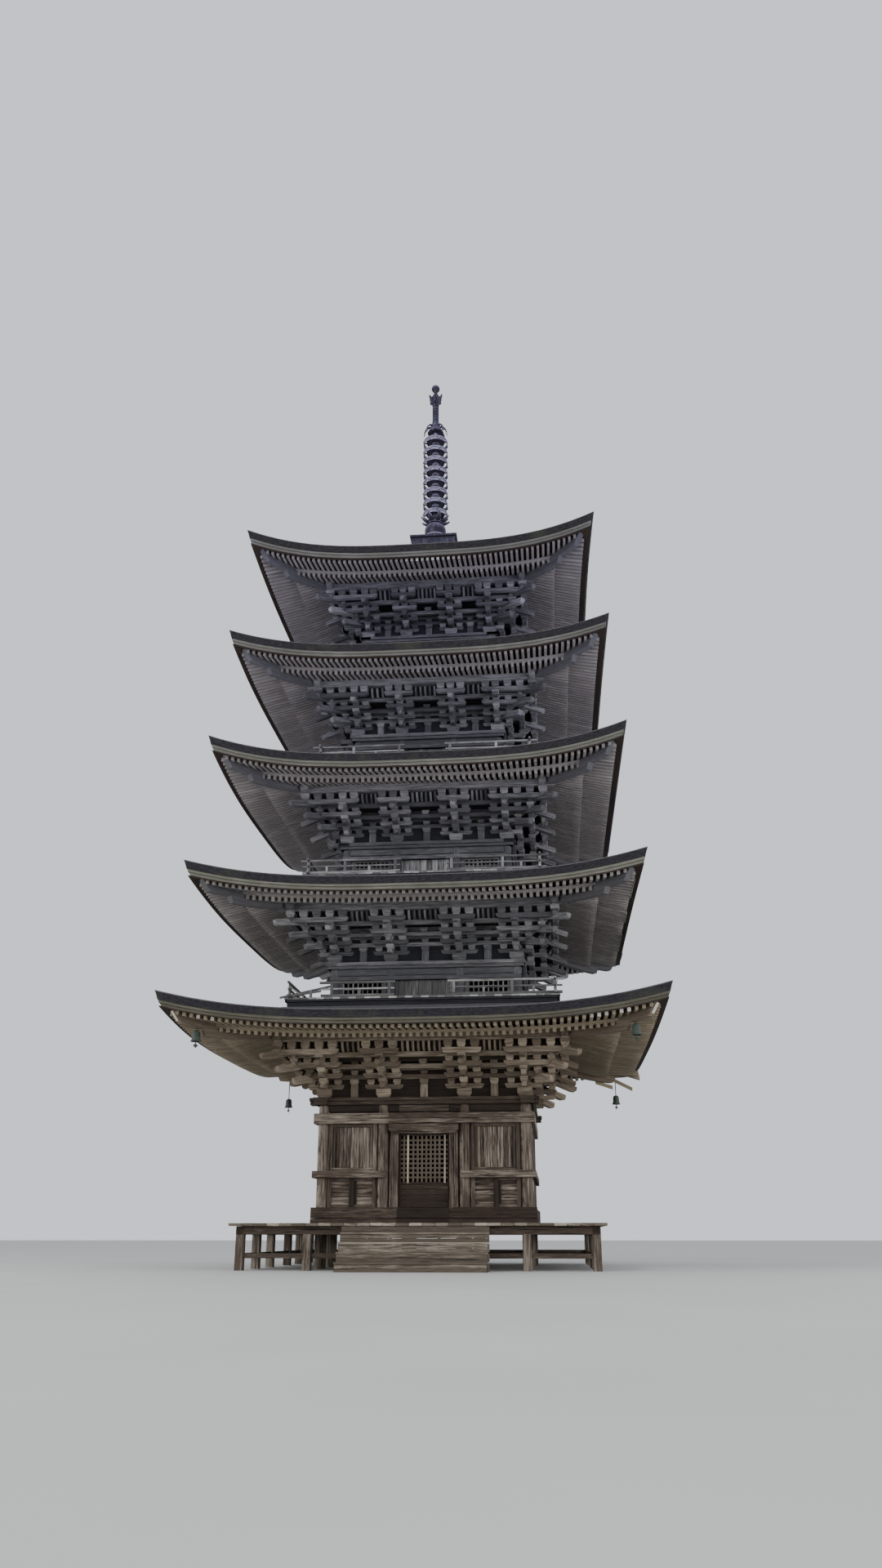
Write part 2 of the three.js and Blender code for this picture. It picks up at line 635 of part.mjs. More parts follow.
// Boarded steps up to the veranda at the front, on four strings
function addStair() {
  const rise = GROUND.floor / STAIR_STEPS;
  const back = GROUND.deck + GAP;
  const topStep = GROUND.floor - VERANDA_THICKNESS;
  const nosings = [];
  for (let i = 1; i < STAIR_STEPS; i++) {
    const front = back + (STAIR_STEPS - i) * STAIR_TREAD;
    nosings.push([front, (i - 1) * rise], [front, i * rise]);
  }
  nosings.push([back + STAIR_BOARD, (STAIR_STEPS - 1) * rise], [back + STAIR_BOARD, topStep]);
  const inner = nosings.slice(1, -1).map(([r, z]) => [r - STAIR_BOARD, z - STAIR_BOARD]);
  const undersides = [[back, topStep], ...inner.toReversed(), [nosings[0][0] - STAIR_BOARD, 0]];
  const boards = acrossFront(shapeOf([...nosings, ...undersides]), 2 * STAIR_HALF_WIDTH);
  const string = acrossFront(shapeOf([...nosings, [back, topStep], [back, 0]]), STAIR_BOARD);
  const outermost = STAIR_HALF_WIDTH - STAIR_BOARD / 2;
  const strings = [-1, -1 / 3, 1 / 3, 1].map((share) => string.translate([share * outermost, 0, 0]));
  addPiece("front_stair", join([boards, ...strings]), paleWood);
}

function addSpire() {
  const baseRim = SPIRE_BASE_TOP - SPIRE_RIM_HEIGHT;
  const base = squareRing([
    [0, CREST_Z + GAP],
    [CREST_HALF, CREST_Z + GAP],
    [CREST_HALF, baseRim],
    [CREST_HALF + SPIRE_RIM_PROUD, baseRim],
    [CREST_HALF + SPIRE_RIM_PROUD, SPIRE_BASE_TOP],
    [0, SPIRE_BASE_TOP],
  ]);
  addPiece("spire_base", base, bronze);

  const bowlBottom = SPIRE_BASE_TOP + GAP;
  const bowl = turned(
    [
      [0, bowlBottom],
      ...BOWL_OUTLINE.map(([r, rise]) => [r, bowlBottom + rise]),
      [NECK_RADIUS, BOWL_TOP],
      [0, BOWL_TOP],
    ],
    SPIRE_SIDES,
  );
  addPiece("spire_bowl", bowl, bronze);

  const lotus = turned(
    [
      [0, BOWL_TOP + GAP],
      [NECK_RADIUS, BOWL_TOP + GAP],
      ...LOTUS_OUTLINE.map(([r, rise]) => [r, BOWL_TOP + rise]),
      [LOTUS_HEART_RADIUS, MAST_BOTTOM],
      [0, MAST_BOTTOM],
    ],
    SPIRE_SIDES,
  );
  addPiece("lotus", lotus, bronze);

  const mast = [[0, MAST_BOTTOM + GAP], [MAST_RADIUS, MAST_BOTTOM + GAP]];
  for (let i = 0; i < RING_COUNT; i++) {
    const low = FIRST_RING + i * RING_PITCH - RING_HEIGHT / 2;
    const inner = RING_RADIUS - RING_WALL;
    mast.push([MAST_RADIUS, low], [RING_RADIUS, low], [RING_RADIUS, low + RING_HEIGHT]);
    mast.push([inner, low + RING_HEIGHT], [inner, low + RING_WEB], [MAST_RADIUS, low + RING_WEB]);
  }
  mast.push([MAST_RADIUS, CANOPY_TOP], [0, CANOPY_TOP]);
  addPiece("ring_mast", turned(mast, RING_SIDES), bronze);

  const bore = MAST_RADIUS + GAP;
  const canopy = turned(
    [
      [bore, CANOPY_BOTTOM],
      ...CANOPY_OUTLINE.map(([r, rise]) => [r, CANOPY_BOTTOM + rise]),
      [bore, CANOPY_TOP],
      [bore, CANOPY_BOTTOM],
    ],
    RING_SIDES,
  );
  addPiece("spire_canopy", canopy, bronze);
  const shaftHeights = [CANOPY_TOP + GAP, FLAME_BOTTOM];
  addPiece("spire_shaft", column(0, 0, SHAFT_RADIUS, RING_SIDES, shaftHeights), bronze);

  const [half, lobe] = [FLAME_HALF, FLAME_LOBE];
  const middle = (FLAME_BOTTOM + GAP + FLAME_TOP) / 2;
  const high = (FLAME_TOP - FLAME_BOTTOM - GAP) / 2;
  const outline = [[half, -lobe], [half, lobe], [lobe, high], [-lobe, high]];
  outline.push([-half, lobe], [-half, -lobe], [-lobe, -high], [lobe, -high]);
  const shape = shapeOf(outline.map(([x, z]) => [x, z + middle]));
  const leaf = acrossFront(shape, FLAME_PLATE);
  addPiece("flame", leaf.add(quarterTurned(leaf, 1)), bronze);

  const ball = new THREE.SphereGeometry(JEWEL_RADIUS, RING_SIDES, JEWEL_ROWS);
  ball.rotateX(Math.PI / 2);
  ball.translate(0, 0, TOTAL_HEIGHT - JEWEL_RADIUS);
  const neckHeights = [FLAME_TOP + GAP, TOTAL_HEIGHT - JEWEL_RADIUS];
  const neck = column(0, 0, JEWEL_NECK_RADIUS, RING_SIDES, neckHeights);
  addPiece("jewel", solid(ball).add(neck), bronze);
}

addVeranda();
addStair();
addGroundWalls();
addDoorway();
addDoorLeaf();
STOREYS.forEach((storey, index) => {
  const number = index + 1;
  if (index > 0) {
    addPiece(`balcony_${number}`, balcony(storey, STOREYS[index - 1]), paleWood);
    addPiece(`walls_${number}`, upperWalls(storey), upperWood);
    addPiece(`plate_${number}`, plate(storey), upperWood);
  }
  addPiece(`brackets_${number}`, brackets(storey), upperWood);
  addRoof(storey, number);
});
addSpire();

export default pagoda;
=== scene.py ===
# %% [markdown]
# # A five-storey timber pagoda
# The tower was built and measured as plain solids first. This lesson dresses those solids: it loads them,
# and then makes every rafter, bracket block, balustrade, lattice bar and shingle course in their place.
# Blender works in metres here, the front of the tower faces -Y and Z is up.

# %% Load the measured solids
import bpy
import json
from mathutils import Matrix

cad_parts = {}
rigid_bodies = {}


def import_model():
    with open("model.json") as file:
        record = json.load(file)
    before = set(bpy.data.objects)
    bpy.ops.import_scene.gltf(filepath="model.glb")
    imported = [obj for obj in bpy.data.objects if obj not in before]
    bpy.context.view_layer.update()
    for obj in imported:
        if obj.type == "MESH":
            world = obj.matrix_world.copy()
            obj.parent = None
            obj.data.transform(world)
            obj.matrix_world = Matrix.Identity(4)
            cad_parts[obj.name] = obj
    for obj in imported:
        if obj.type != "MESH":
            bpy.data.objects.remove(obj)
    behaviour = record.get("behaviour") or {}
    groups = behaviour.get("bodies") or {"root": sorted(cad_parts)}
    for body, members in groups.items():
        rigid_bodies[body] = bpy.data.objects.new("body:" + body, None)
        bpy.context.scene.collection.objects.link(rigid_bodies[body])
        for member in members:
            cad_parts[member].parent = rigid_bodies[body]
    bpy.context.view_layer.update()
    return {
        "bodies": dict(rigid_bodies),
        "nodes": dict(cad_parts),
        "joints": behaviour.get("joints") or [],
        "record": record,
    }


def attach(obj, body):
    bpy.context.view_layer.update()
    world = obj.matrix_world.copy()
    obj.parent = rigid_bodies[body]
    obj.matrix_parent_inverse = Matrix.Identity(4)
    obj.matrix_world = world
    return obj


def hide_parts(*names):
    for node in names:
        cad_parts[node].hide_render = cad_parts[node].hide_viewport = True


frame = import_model()

# %% [markdown]
# ## Sizes of the storeys
# Carpenters of such towers set out each storey from a few lines: the columns, the floor, the wall plate,
# the purlin that carries the rafters, and the edge of the roof. A named tuple keeps those lines together,
# so that the later steps read like a building drawing.

# %% Storey sizes in metres
import json
import math
import random
from collections import namedtuple
import bpy
from mathutils import Matrix, Vector

FIELDS = "number line radius bay deck floor plate purlin eave edge tip tip_edge flying_root base_end"
Storey = namedtuple("Storey", FIELDS)
STOREYS = [
    Storey(1, 2.60, 0.15, 1.05, 4.48, 1.05, 4.10, 5.44, 6.05, 5.81, 6.20, 6.32, 0.35, 0.52),
    Storey(2, 2.47, 0.13, 0.93, 3.60, 6.57, 7.68, 8.92, 5.68, 9.22, 5.86, 9.72, 0.22, 0.42),
    Storey(3, 2.26, 0.13, 0.84, 3.30, 10.03, 11.16, 12.37, 5.45, 12.66, 5.57, 13.30, 0.22, 0.42),
    Storey(4, 2.06, 0.13, 0.76, 3.12, 13.51, 14.59, 15.75, 5.19, 16.06, 5.30, 16.64, 0.22, 0.42),
    Storey(5, 1.86, 0.13, 0.69, 2.92, 16.91, 17.96, 19.15, 4.90, 19.41, 5.06, 20.09, 0.22, 0.42),
]
GROUND, UPPER = STOREYS[0], STOREYS[1:]
STEP = 0.355
dice = random.Random(5)
print("eaves at", [storey.edge for storey in STOREYS])

# %% [markdown]
# ## Camera
# The tower is seen from the path, a little to the right of its axis, from low down and tilted up.
# The place and angles come from matching the corners of the eaves, the columns and the spire.

# %% Camera at the viewing angle
camera_data = bpy.data.cameras.new("viewpoint")
camera = bpy.data.objects.new("viewpoint", camera_data)
bpy.context.collection.objects.link(camera)
TILT_UP, TURN_LEFT = 21.323, 5.318
camera.location = (3.296, -33.36, 0.759)
camera.rotation_euler = (math.radians(90 + TILT_UP), 0, math.radians(TURN_LEFT))
camera_data.lens = 26.59
camera_data.sensor_width = 36
camera_data.clip_end = 400
bpy.context.scene.camera = camera
print("camera lens", camera_data.lens, "mm")

# %% [markdown]
# ## Floor, sky and lamps
# Under tall trees the light is soft and comes from all round, so a pale sky does most of the work.
# One broad lamp from the upper left gives the timbers a lit and a shaded side, and a weaker one stands
# on the right. Three lamps near the ground shine up into the deep eaves, as light off open ground does.

# %% Stage and light
def select_only(*pieces):
    bpy.ops.object.select_all(action="DESELECT")
    for piece in pieces:
        piece.select_set(True)
    bpy.context.view_layer.objects.active = pieces[0]


bpy.ops.object.select_all(action="DESELECT")
bpy.ops.mesh.primitive_plane_add(size=400)
ground_plane = bpy.context.object
ground_plane.name = "floor"

world = bpy.data.worlds.new("pale sky")
bpy.context.scene.world = world
world.use_nodes = True
world.node_tree.nodes["Background"].inputs["Color"].default_value = (0.86, 0.9, 0.97, 1)
world.node_tree.nodes["Background"].inputs["Strength"].default_value = 1.05


def add_lamp(name, place, target, size, power, colour):
    data = bpy.data.lights.new(name, "AREA")
    data.shape, data.size, data.energy, data.color = "DISK", size, power, colour
    lamp = bpy.data.objects.new(name, data)
    bpy.context.collection.objects.link(lamp)
    lamp.location = place
    lamp.rotation_euler = (Vector(target) - Vector(place)).to_track_quat("-Z", "Y").to_euler()


add_lamp("key", (-22, -34, 30), (0, 0, 13), 16, 6000, (1, 0.97, 0.92))
add_lamp("fill", (26, -30, 10), (0, 0, 11), 20, 2500, (0.92, 0.96, 1))
add_lamp("low_front", (0, -46, 5), (0, -3, 9), 16, 3000, (1, 0.98, 0.95))
add_lamp("low_left", (-26, -12, 2.5), (-3, 0, 12), 14, 5500, (1, 0.98, 0.95))
add_lamp("low_right", (26, -12, 2.5), (3, 0, 12), 14, 5500, (1, 0.98, 0.95))
print("lamps:", [o.name for o in bpy.data.objects if o.type == "LIGHT"])

# %% [markdown]
# ## A way to write finishes
# A finish is a node tree. Wiring it by hand takes hundreds of lines, so one class adds any node from its
# type, settings and sockets, and a second one lets arithmetic on a surface value add its own Math nodes.

# %% A number on a surface
class Level:
    """A number that varies over a surface."""

    def __init__(self, finish, socket):
        self.finish, self.socket = finish, socket

    def maths(self, operation, *values):
        sockets = {f"in{i}": value for i, value in enumerate(values)}
        return self.finish.add("Math", {"operation": operation}, **sockets)

    def __add__(self, other):
        return self.maths("ADD", self, other)

    def __sub__(self, other):
        return self.maths("SUBTRACT", self, other)

    def __rsub__(self, other):
        return self.maths("SUBTRACT", other, self)

    def __mul__(self, other):
        return self.maths("MULTIPLY", self, other)

    __radd__, __rmul__ = __add__, __mul__

    def between(self, low, high):
        """0 up to low, 1 from high on, and even between them."""
        sockets = {"Value": self, "From Min": low, "From Max": high}
        return self.finish.add("MapRange", {"clamp": True}, **sockets)


print("number helper ready")

# %% A finish and its nodes
class Finish:
    """One material and the nodes that drive it."""

    def __init__(self, name, roughness=0.85, metallic=0.0):
        self.material = bpy.data.materials.new(name)
        self.material.use_nodes = True
        self.tree = self.material.node_tree
        self.shader = self.tree.nodes["Principled BSDF"]
        self.drive("Roughness", roughness)
        self.drive("Metallic", metallic)

    def feed(self, socket, value):
        if isinstance(value, Level):
            self.tree.links.new(value.socket, socket)
        else:
            socket.default_value = value

    def drive(self, name, value):
        """Sets or feeds a socket of the surface shader."""
        self.feed(self.shader.inputs[name], value)

    def add(self, kind, settings=None, output=0, **sockets):
        node = self.tree.nodes.new("ShaderNode" + kind)
        for name, value in (settings or {}).items():
            setattr(node, name, value)
        for name, value in sockets.items():
            numbered = name.startswith("in") and name[2:].isdigit()
            self.feed(node.inputs[int(name[2:]) if numbered else name], value)
        return Level(self, node.outputs[output])

    def noise(self, where, scale, detail=3, roughness=0.6):
        sockets = {"Vector": where, "Scale": scale, "Detail": detail, "Roughness": roughness}
        return self.add("TexNoise", **sockets)

    def stretched(self, where, scale):
        return self.add("Mapping", Vector=where, Scale=scale)

    def mix(self, factor, first, second):
        sockets = {"in0": factor, "in6": first, "in7": second}
        return self.add("Mix", {"data_type": "RGBA"}, output=2, **sockets)

    def times(self, colour, shade):
        sockets = {"in0": 1.0, "in6": colour, "in7": shade}
        return self.add("Mix", {"data_type": "RGBA", "blend_type": "MULTIPLY"}, output=2, **sockets)

    def bump(self, height, strength, distance):
        sockets = {"Height": height, "Strength": strength, "Distance": distance}
        self.drive("Normal", self.add("Bump", **sockets))


def tint(red, green, blue):
    """A colour from its 0-255 screen values."""
    return tuple(((c / 255 + 0.055) / 1.055) ** 2.4 for c in (red, green, blue)) + (1,)


def deeper(colour, share):
    return tuple(c * share for c in colour[:3]) + (1,)


print("mid grey as a shader colour:", [round(c, 3) for c in tint(119, 119, 119)])

# %% [markdown]
# ## Floor finish
# The floor is a plain pale grey with faint clouds in it, so that it throws light up and draws no attention.

# %% Pale floor
pale_floor = Finish("pale_floor", roughness=0.9)
cloudy = pale_floor.noise(pale_floor.add("TexCoord", output=3), 0.25, 4, 0.55)
pale_floor.drive("Base Color", pale_floor.mix(cloudy, tint(176, 176, 172), tint(190, 190, 187)))
ground_plane.data.materials.append(pale_floor.material)
print("floor finish ready")

# %% [markdown]
# ## Weathered timber
# Old cedar left bare turns grey, opens in long splits along the grain and keeps its brown only where rain
# doesn't reach. Every timber carries a map called grain, whose U runs along the wood in metres, and a value
# called tone, which makes each member a little lighter or darker. The fibres are noise drawn out along the
# grain. Greyed streaks lie along it too, and only a little of the change from grey to brown reads the place
# in the tower and runs on over the joints. The higher a timber stands, the cooler its grey: that is painted
# cool sky light and haze on the upper storeys. The dark sheltered timbers also stand for painted shade
# under the eaves, and the paler rafter timbers for painted sky light on the open soffits.

# %% Timber finishes
def timber_finish(name, dark, body, pale, wear, splits):
    """The three colours are screen values; wear and splits are shares of greyed and of opened wood."""
    dark, body, pale = tint(*dark), tint(*body), tint(*pale)
    wood = Finish(name, roughness=0.82)
    grain = wood.add("UVMap", {"uv_map": "grain"})
    tone = wood.add("Attribute", {"attribute_name": "tone"}, output=2)
    place = wood.add("TexCoord", output=3)
    fibre = wood.noise(wood.stretched(grain, (2.6, 80, 1)), 1, 6, 0.7)
    streaks = wood.noise(wood.stretched(grain, (1.5, 22, 1)), 1, 5, 0.65)
    long_split = wood.noise(wood.stretched(grain, (0.7, 21, 1)), 1, 4, 0.6)
    patches = wood.noise(place, 0.9, 3, 0.55)
    weather = patches * 0.3 + streaks * 0.7 + (tone - 0.5) * 0.5 + (fibre - 0.5) * 0.6
    greyed = weather.between(0.62 - wear * 0.3, 0.86 - wear * 0.3)
    opened = long_split.between(0.36, 0.44)
    height = wood.add("SeparateXYZ", output=2, Vector=place)
    colour = wood.mix(fibre.between(0.3, 0.72), dark, body)
    colour = wood.mix(greyed * 0.85, colour, pale)
    colour = wood.mix((1 - opened) * splits, colour, deeper(dark, 0.22))
    colour = wood.times(colour, wood.mix(tone, (0.62, 0.62, 0.64, 1), (1.3, 1.28, 1.24, 1)))
    # Painted cool sky light: the higher the timber, the bluer its colour.
    colour = wood.times(colour, wood.mix(height.between(8, 21), (1, 1, 1, 1), (0.98, 0.97, 1.22, 1)))
    wood.drive("Base Color", colour)
    wood.drive("Roughness", 0.95 - greyed * 0.2)
    wood.drive("Specular IOR Level", 0.25)
    wood.bump(fibre * 0.35 + opened * 0.65, 0.55, 0.012)
    return wood.material


ground_wood = timber_finish("weathered_ground_timber", (40, 33, 28), (86, 75, 66), (138, 130, 119),
                            0.32, 0.95)
# The dark sheltered timbers are also painted shade: sheeting between rafters, bracket infill, deck waists.
dark_wood = timber_finish("sheltered_and_shaded_timber", (32, 27, 24), (60, 49, 42), (94, 84, 75), 0.15, 0.6)
plank_wood = timber_finish("trodden_planks", (62, 55, 47), (104, 95, 84), (146, 138, 126), 0.4, 0.6)
lattice_wood = timber_finish("lattice_timber", (66, 59, 51), (98, 89, 78), (124, 116, 104), 0.35, 0.2)
eave_wood = timber_finish("eave_timber", (70, 61, 52), (112, 101, 88), (142, 132, 118), 0.35, 0.3)
# Both rafter finishes are paler than the eave timber as painted sky light on the open soffits.
rafter_wood = timber_finish("rafter_timber", (104, 95, 80), (138, 127, 109), (160, 150, 131), 0.3, 0.1)
board_wood = timber_finish("eave_board", (64, 62, 55), (96, 93, 82), (124, 121, 108), 0.4, 0.25)
upper_wood = timber_finish("shaded_upper_timber", (60, 60, 63), (94, 94, 98), (130, 130, 133), 0.35, 0.3)
upper_dark = timber_finish("sheltered_and_shaded_upper_timber", (30, 30, 35), (56, 56, 62), (86, 86, 92), 0.2, 0.4)
upper_rafter_wood = timber_finish("upper_rafter_timber", (108, 104, 102), (140, 136, 134), (160, 157, 155),
                                  0.3, 0.1)
pale_board_wood = timber_finish("upper_eave_board", (78, 78, 70), (112, 112, 102), (140, 139, 130), 0.4, 0.2)
grey_wood = timber_finish("silver_grey_timber", (70, 69, 69), (116, 115, 115), (168, 168, 168), 0.42, 0.5)
print("timber finishes ready")

# %% [markdown]
# ## Choosing parts of a mesh in code
# By hand one clicks the faces to work on. In code they are chosen by where they are and which way they
# face. The helper marks them and opens edit mode, so the next operator acts on just those.

# %% Selecting by place
def choose(piece, kind, wanted):
    """Opens edit mode with the VERT, EDGE or FACE parts selected whose middle and direction pass the test."""
    select_only(piece)
    bpy.context.tool_settings.mesh_select_mode = tuple(kind == k for k in ("VERT", "EDGE", "FACE"))
    mesh = piece.data
    for parts in (mesh.vertices, mesh.edges, mesh.polygons):
        parts.foreach_set("select", [False] * len(parts))
    place = [vertex.co.copy() for vertex in mesh.vertices]
    if kind == "VERT":
        for vertex in mesh.vertices:
            vertex.select = wanted(vertex.co, None)
    if kind == "EDGE":
        for edge in mesh.edges:
            a, b = (place[i] for i in edge.vertices)
            edge.select = wanted((a + b) / 2, (b - a).normalized())
    if kind == "FACE":
        for face in mesh.polygons:
            face.select = wanted(face.center, face.normal)
    bpy.ops.object.mode_set(mode="EDIT")


def close_edit(piece):
    bpy.ops.object.mode_set(mode="OBJECT")
    return piece


def start_block(name, centre=(0, 0, 0), size=(1, 1, 1)):
    """A cube of the given size and place, to be shaped further."""
    bpy.ops.object.select_all(action="DESELECT")
    bpy.ops.mesh.primitive_cube_add(size=1, location=centre)
    block = bpy.context.object
    block.name = name
    block.scale = size
    bpy.ops.object.transform_apply(location=True, rotation=False, scale=True)
    return block


def bevel(offset, segments):
    bpy.ops.mesh.bevel(offset=offset, segments=segments, affect="EDGES")


print("selection helpers ready")

# %% [markdown]
# ## The grain map
# The fibres have to run along each timber, whichever way it lies. So the map is laid on the member while
# it still points along X: U is the length, and V goes round the section.

# %% Laying the grain
def lay_grain(piece, axis=0, tone=0.5):
    mesh = piece.data
    layer = mesh.uv_layers.get("grain") or mesh.uv_layers.new(name="grain")
    others = [i for i in range(3) if i != axis]
    flat = []
    for loop in mesh.loops:
        place = mesh.vertices[loop.vertex_index].co
        flat += [place[axis], place[others[0]] + place[others[1]]]
    layer.data.foreach_set("uv", flat)
    for extra in [other.name for other in mesh.uv_layers if other.name != "grain"]:
        mesh.uv_layers.remove(mesh.uv_layers[extra])
    if "tone" not in mesh.attributes:
        mesh.attributes.new("tone", "FLOAT", "POINT")
    mesh.attributes["tone"].data.foreach_set("value", [tone] * len(mesh.vertices))
    return piece


print("grain map helper ready")

# %% [markdown]
# ## One bar of timber
# Nearly every straight member is a sawn bar with its sharp edges planed off. It is made once, one metre
# long, one wide and one high, from a cube whose four long edges are bevelled. Each rafter, rail and board
# is then a copy of it, stretched to its own length and section.

# %% The bar
bar = start_block("bar", centre=(0.5, 0, 0.5))
choose(bar, "EDGE", lambda middle, way: abs(way.x) > 0.9)
bevel(0.06, 1)
lay_grain(close_edit(bar))
print("bar faces:", len(bar.data.polygons))

# %% [markdown]
# ## Placing copies
# A place is a matrix. For a timber it says where its foot is, how far and which way it runs, and its width
# and height. Every copy gets its own mesh, its own stretch of grain and its own tone, and all copies of a
# kind are joined, so that a storey has a few pieces and not a thousand.

# %% Places
def timber(start, end, width, height, up=(0, 0, 1)):
    """Place for a bar from start to end, along the middle of its underside."""
    start, rise = Vector(start), Vector(up)
    along = Vector(end) - start
    across = rise.cross(along).normalized() * width
    columns = (along, across, rise.normalized() * height, start)
    return Matrix([[column[row] for column in columns] for row in range(3)] + [[0, 0, 0, 1]])


def upright(x, y, low, high, width, depth):
    """Place for a bar that stands, centred on x and y."""
    return timber((x, y + depth / 2, low), (x, y + depth / 2, high), width, depth, up=(0, -1, 0))


def lying(x0, x1, y, foot, depth, height):
    """Place for a bar that lies along X, centred on y."""
    return timber((x0, y, foot), (x1, y, foot), depth, height)


print("a post's foot:", tuple(upright(1, 2, 0, 3, 0.2, 0.2).translation))

# %% Copying and joining
def moved_copy(unit, place):
    copy = unit.copy()
    copy.data = unit.data.copy()
    bpy.context.collection.objects.link(copy)
    copy.data.transform(place)
    return copy


def copy_at(unit, place, tone):
    copy = moved_copy(unit, place)
    length = place.col[0].length
    girth = (place.col[1].length + place.col[2].length) / 2
    slide = (dice.uniform(0, 40), dice.uniform(0, 40))
    grain = copy.data.uv_layers["grain"].data
    flat = [0.0] * (2 * len(grain))
    grain.foreach_get("uv", flat)
    flat[0::2] = [u * length + slide[0] for u in flat[0::2]]
    flat[1::2] = [v * girth + slide[1] for v in flat[1::2]]
    grain.foreach_set("uv", flat)
    copy.data.attributes["tone"].data.foreach_set("value", [tone] * len(copy.data.vertices))
    return copy


def joined(name, pieces):
    select_only(*pieces)
    bpy.ops.object.join()
    piece = bpy.context.object
    piece.name = piece.data.name = name
    return piece


def copies(name, unit, places, low=0.25, high=0.75):
    """All copies of a unit at their places, as one piece."""
    return joined(name, [copy_at(unit, place, dice.uniform(low, high)) for place in places])


def about_axis(degrees):
    return Matrix.Rotation(math.radians(degrees), 4, "Z")


def other_sides(piece):
    return [moved_copy(piece, about_axis(angle)) for angle in (90, 180, 270)]


def on_four_sides(piece):
    return joined(piece.name, [piece] + other_sides(piece))


print("copy helpers ready")

# %% Dressing a piece
def dress(piece, material, slot, *nodes, body="root"):
    """Gives a finished piece its material, its body and the solids that it stands for."""
    piece.data.materials.clear()
    piece.data.materials.append(material)
    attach(piece, body)
    if nodes:
        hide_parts(*nodes)
    triangles = sum(len(face.vertices) - 2 for face in piece.data.polygons)
    print(f"{piece.name}: {triangles} triangles")
    return piece


print("dressing helper ready")

# %% [markdown]
# ## The curve of the eaves
# The eaves run level along the middle of each side and sweep up and out towards the corners. Rafters,
# boards and shingles all follow that one curve, so one function gives it: how far along the side, how far
# out from the axis, and how high it would be at mid side.

# %% Points on the swept eaves
PURLIN_OUT = 3 * STEP
CORNER_POWER = 3.3


def eave_place(storey, share, reach, height):
    start = storey.line + PURLIN_OUT
    fade = max(0, (reach - start) / (storey.eave - start)) ** 1.5
    sweep = min(1, abs(share)) ** CORNER_POWER * fade
    out = reach + sweep * (storey.tip - storey.eave)
    return Vector((share * out, -out, height + sweep * (storey.tip_edge - storey.edge)))


def rafter_place(storey, x, reach, height):
    """The same for a member that stays at x while it runs out under the eaves."""
    share = x / reach
    for _ in range(3):
        share = x / -eave_place(storey, share, reach, height).y
    return eave_place(storey, share, reach, height)


print("first tip:", [round(c, 3) for c in eave_place(GROUND, 1, GROUND.eave, GROUND.edge)])

# %% [markdown]
# ## Boards that follow the eaves
# The eaves boards and the sheeting over the rafters bend with the corners. Such a board starts as a block
# cut into many slices along its length, and each slice is moved to its station on the curve. Its ends
# land on the diagonal, so four of them meet in clean mitres.

# %% A bent board
STATIONS = 32


def sliced_block(name, cuts, centre=(0.5, 0, 0.5), size=(1, 1, 1)):
    """A block cut across into slices along X, with its grain laid, ready to be bent."""
    block = start_block(name, centre, size)
    choose(block, "EDGE", lambda middle, way: abs(way.x) > 0.9)
    bpy.ops.mesh.subdivide(number_cuts=cuts)
    return lay_grain(close_edit(block))


def eaves_board(name, storey, outer, inner):
    """outer and inner are (reach, underside, top) of the board's two long faces, at mid side."""
    board = sliced_block(name, STATIONS - 1, centre=(0, 0, 0), size=(2, 1, 1))
    for vertex in board.data.vertices:
        reach, low, high = outer if vertex.co.y < 0 else inner
        share = math.sin(vertex.co.x * math.pi / 2)
        vertex.co = eave_place(storey, share, reach, high if vertex.co.z > 0 else low)
    for loop, uv in zip(board.data.loops, board.data.uv_layers["grain"].data):
        place = board.data.vertices[loop.vertex_index].co
        uv.uv = (place.x, uv.uv[1] * 0.1 + (place.y + place.z))
    return board


print("stations along a board:", STATIONS)

# %% [markdown]
# ## Rafters
# Two rows of rafters carry each roof. The base rafters rest on the wall and the eaves purlin; short flying
# rafters stand on a board over their ends and reach out to the edge. They lie parallel, close together, and
# end against the hip beam at the corners. Each is a copied bar between two points of the swept curve.

# %% Rows of rafters
RAFTER_PITCH = {1: 0.175, 2: 0.168, 3: 0.162, 4: 0.157, 5: 0.152}
BASE_SETBACK, BASE_HEIGHT = 1.05, 0.14
FLYING_SETBACK, FLYING_DROP, FLYING_HEIGHT = 0.25, 0.43, 0.09
PURLIN_HEIGHT = 0.2


def base_height(storey, reach):
    """Underside of the base rafters at mid side."""
    end, low = storey.eave - BASE_SETBACK, storey.edge - storey.base_end
    slope = (storey.purlin + PURLIN_HEIGHT - low) / (end - storey.line - PURLIN_OUT)
    return low + slope * (end - reach)


def flying_height(storey, reach):
    share = (storey.eave - FLYING_SETBACK - reach) / (BASE_SETBACK - FLYING_SETBACK)
    return storey.edge - FLYING_DROP + share * (FLYING_DROP - storey.flying_root)


def rafter_rows(storey):
    pitch = RAFTER_PITCH[storey.number]
    width = pitch * 0.5
    base_end, flying_end = storey.eave - BASE_SETBACK, storey.eave - FLYING_SETBACK
    base, flying = [], []
    for i in range(int(storey.tip / pitch)):
        for x in ((i + 0.5) * pitch, -(i + 0.5) * pitch):
            root = max(storey.line + 0.04, abs(x) - 0.02)
            if root < base_end - 0.12:
                start = rafter_place(storey, x, root, base_height(storey, root))
                end = rafter_place(storey, x, base_end, base_height(storey, base_end))
                base.append(timber(start, end, width, BASE_HEIGHT))
            root = max(base_end - 0.14, abs(x) - 0.02)
            if root < flying_end - 0.05:
                start = rafter_place(storey, x, root, flying_height(storey, root))
                end = rafter_place(storey, x, flying_end, flying_height(storey, flying_end))
                flying.append(timber(start, end, width * 0.95, FLYING_HEIGHT))
    return base, flying


print("rafters on the front of the first roof:", [len(row) for row in rafter_rows(GROUND)])

# %% A hip beam
HIP_SETBACK = 0.33


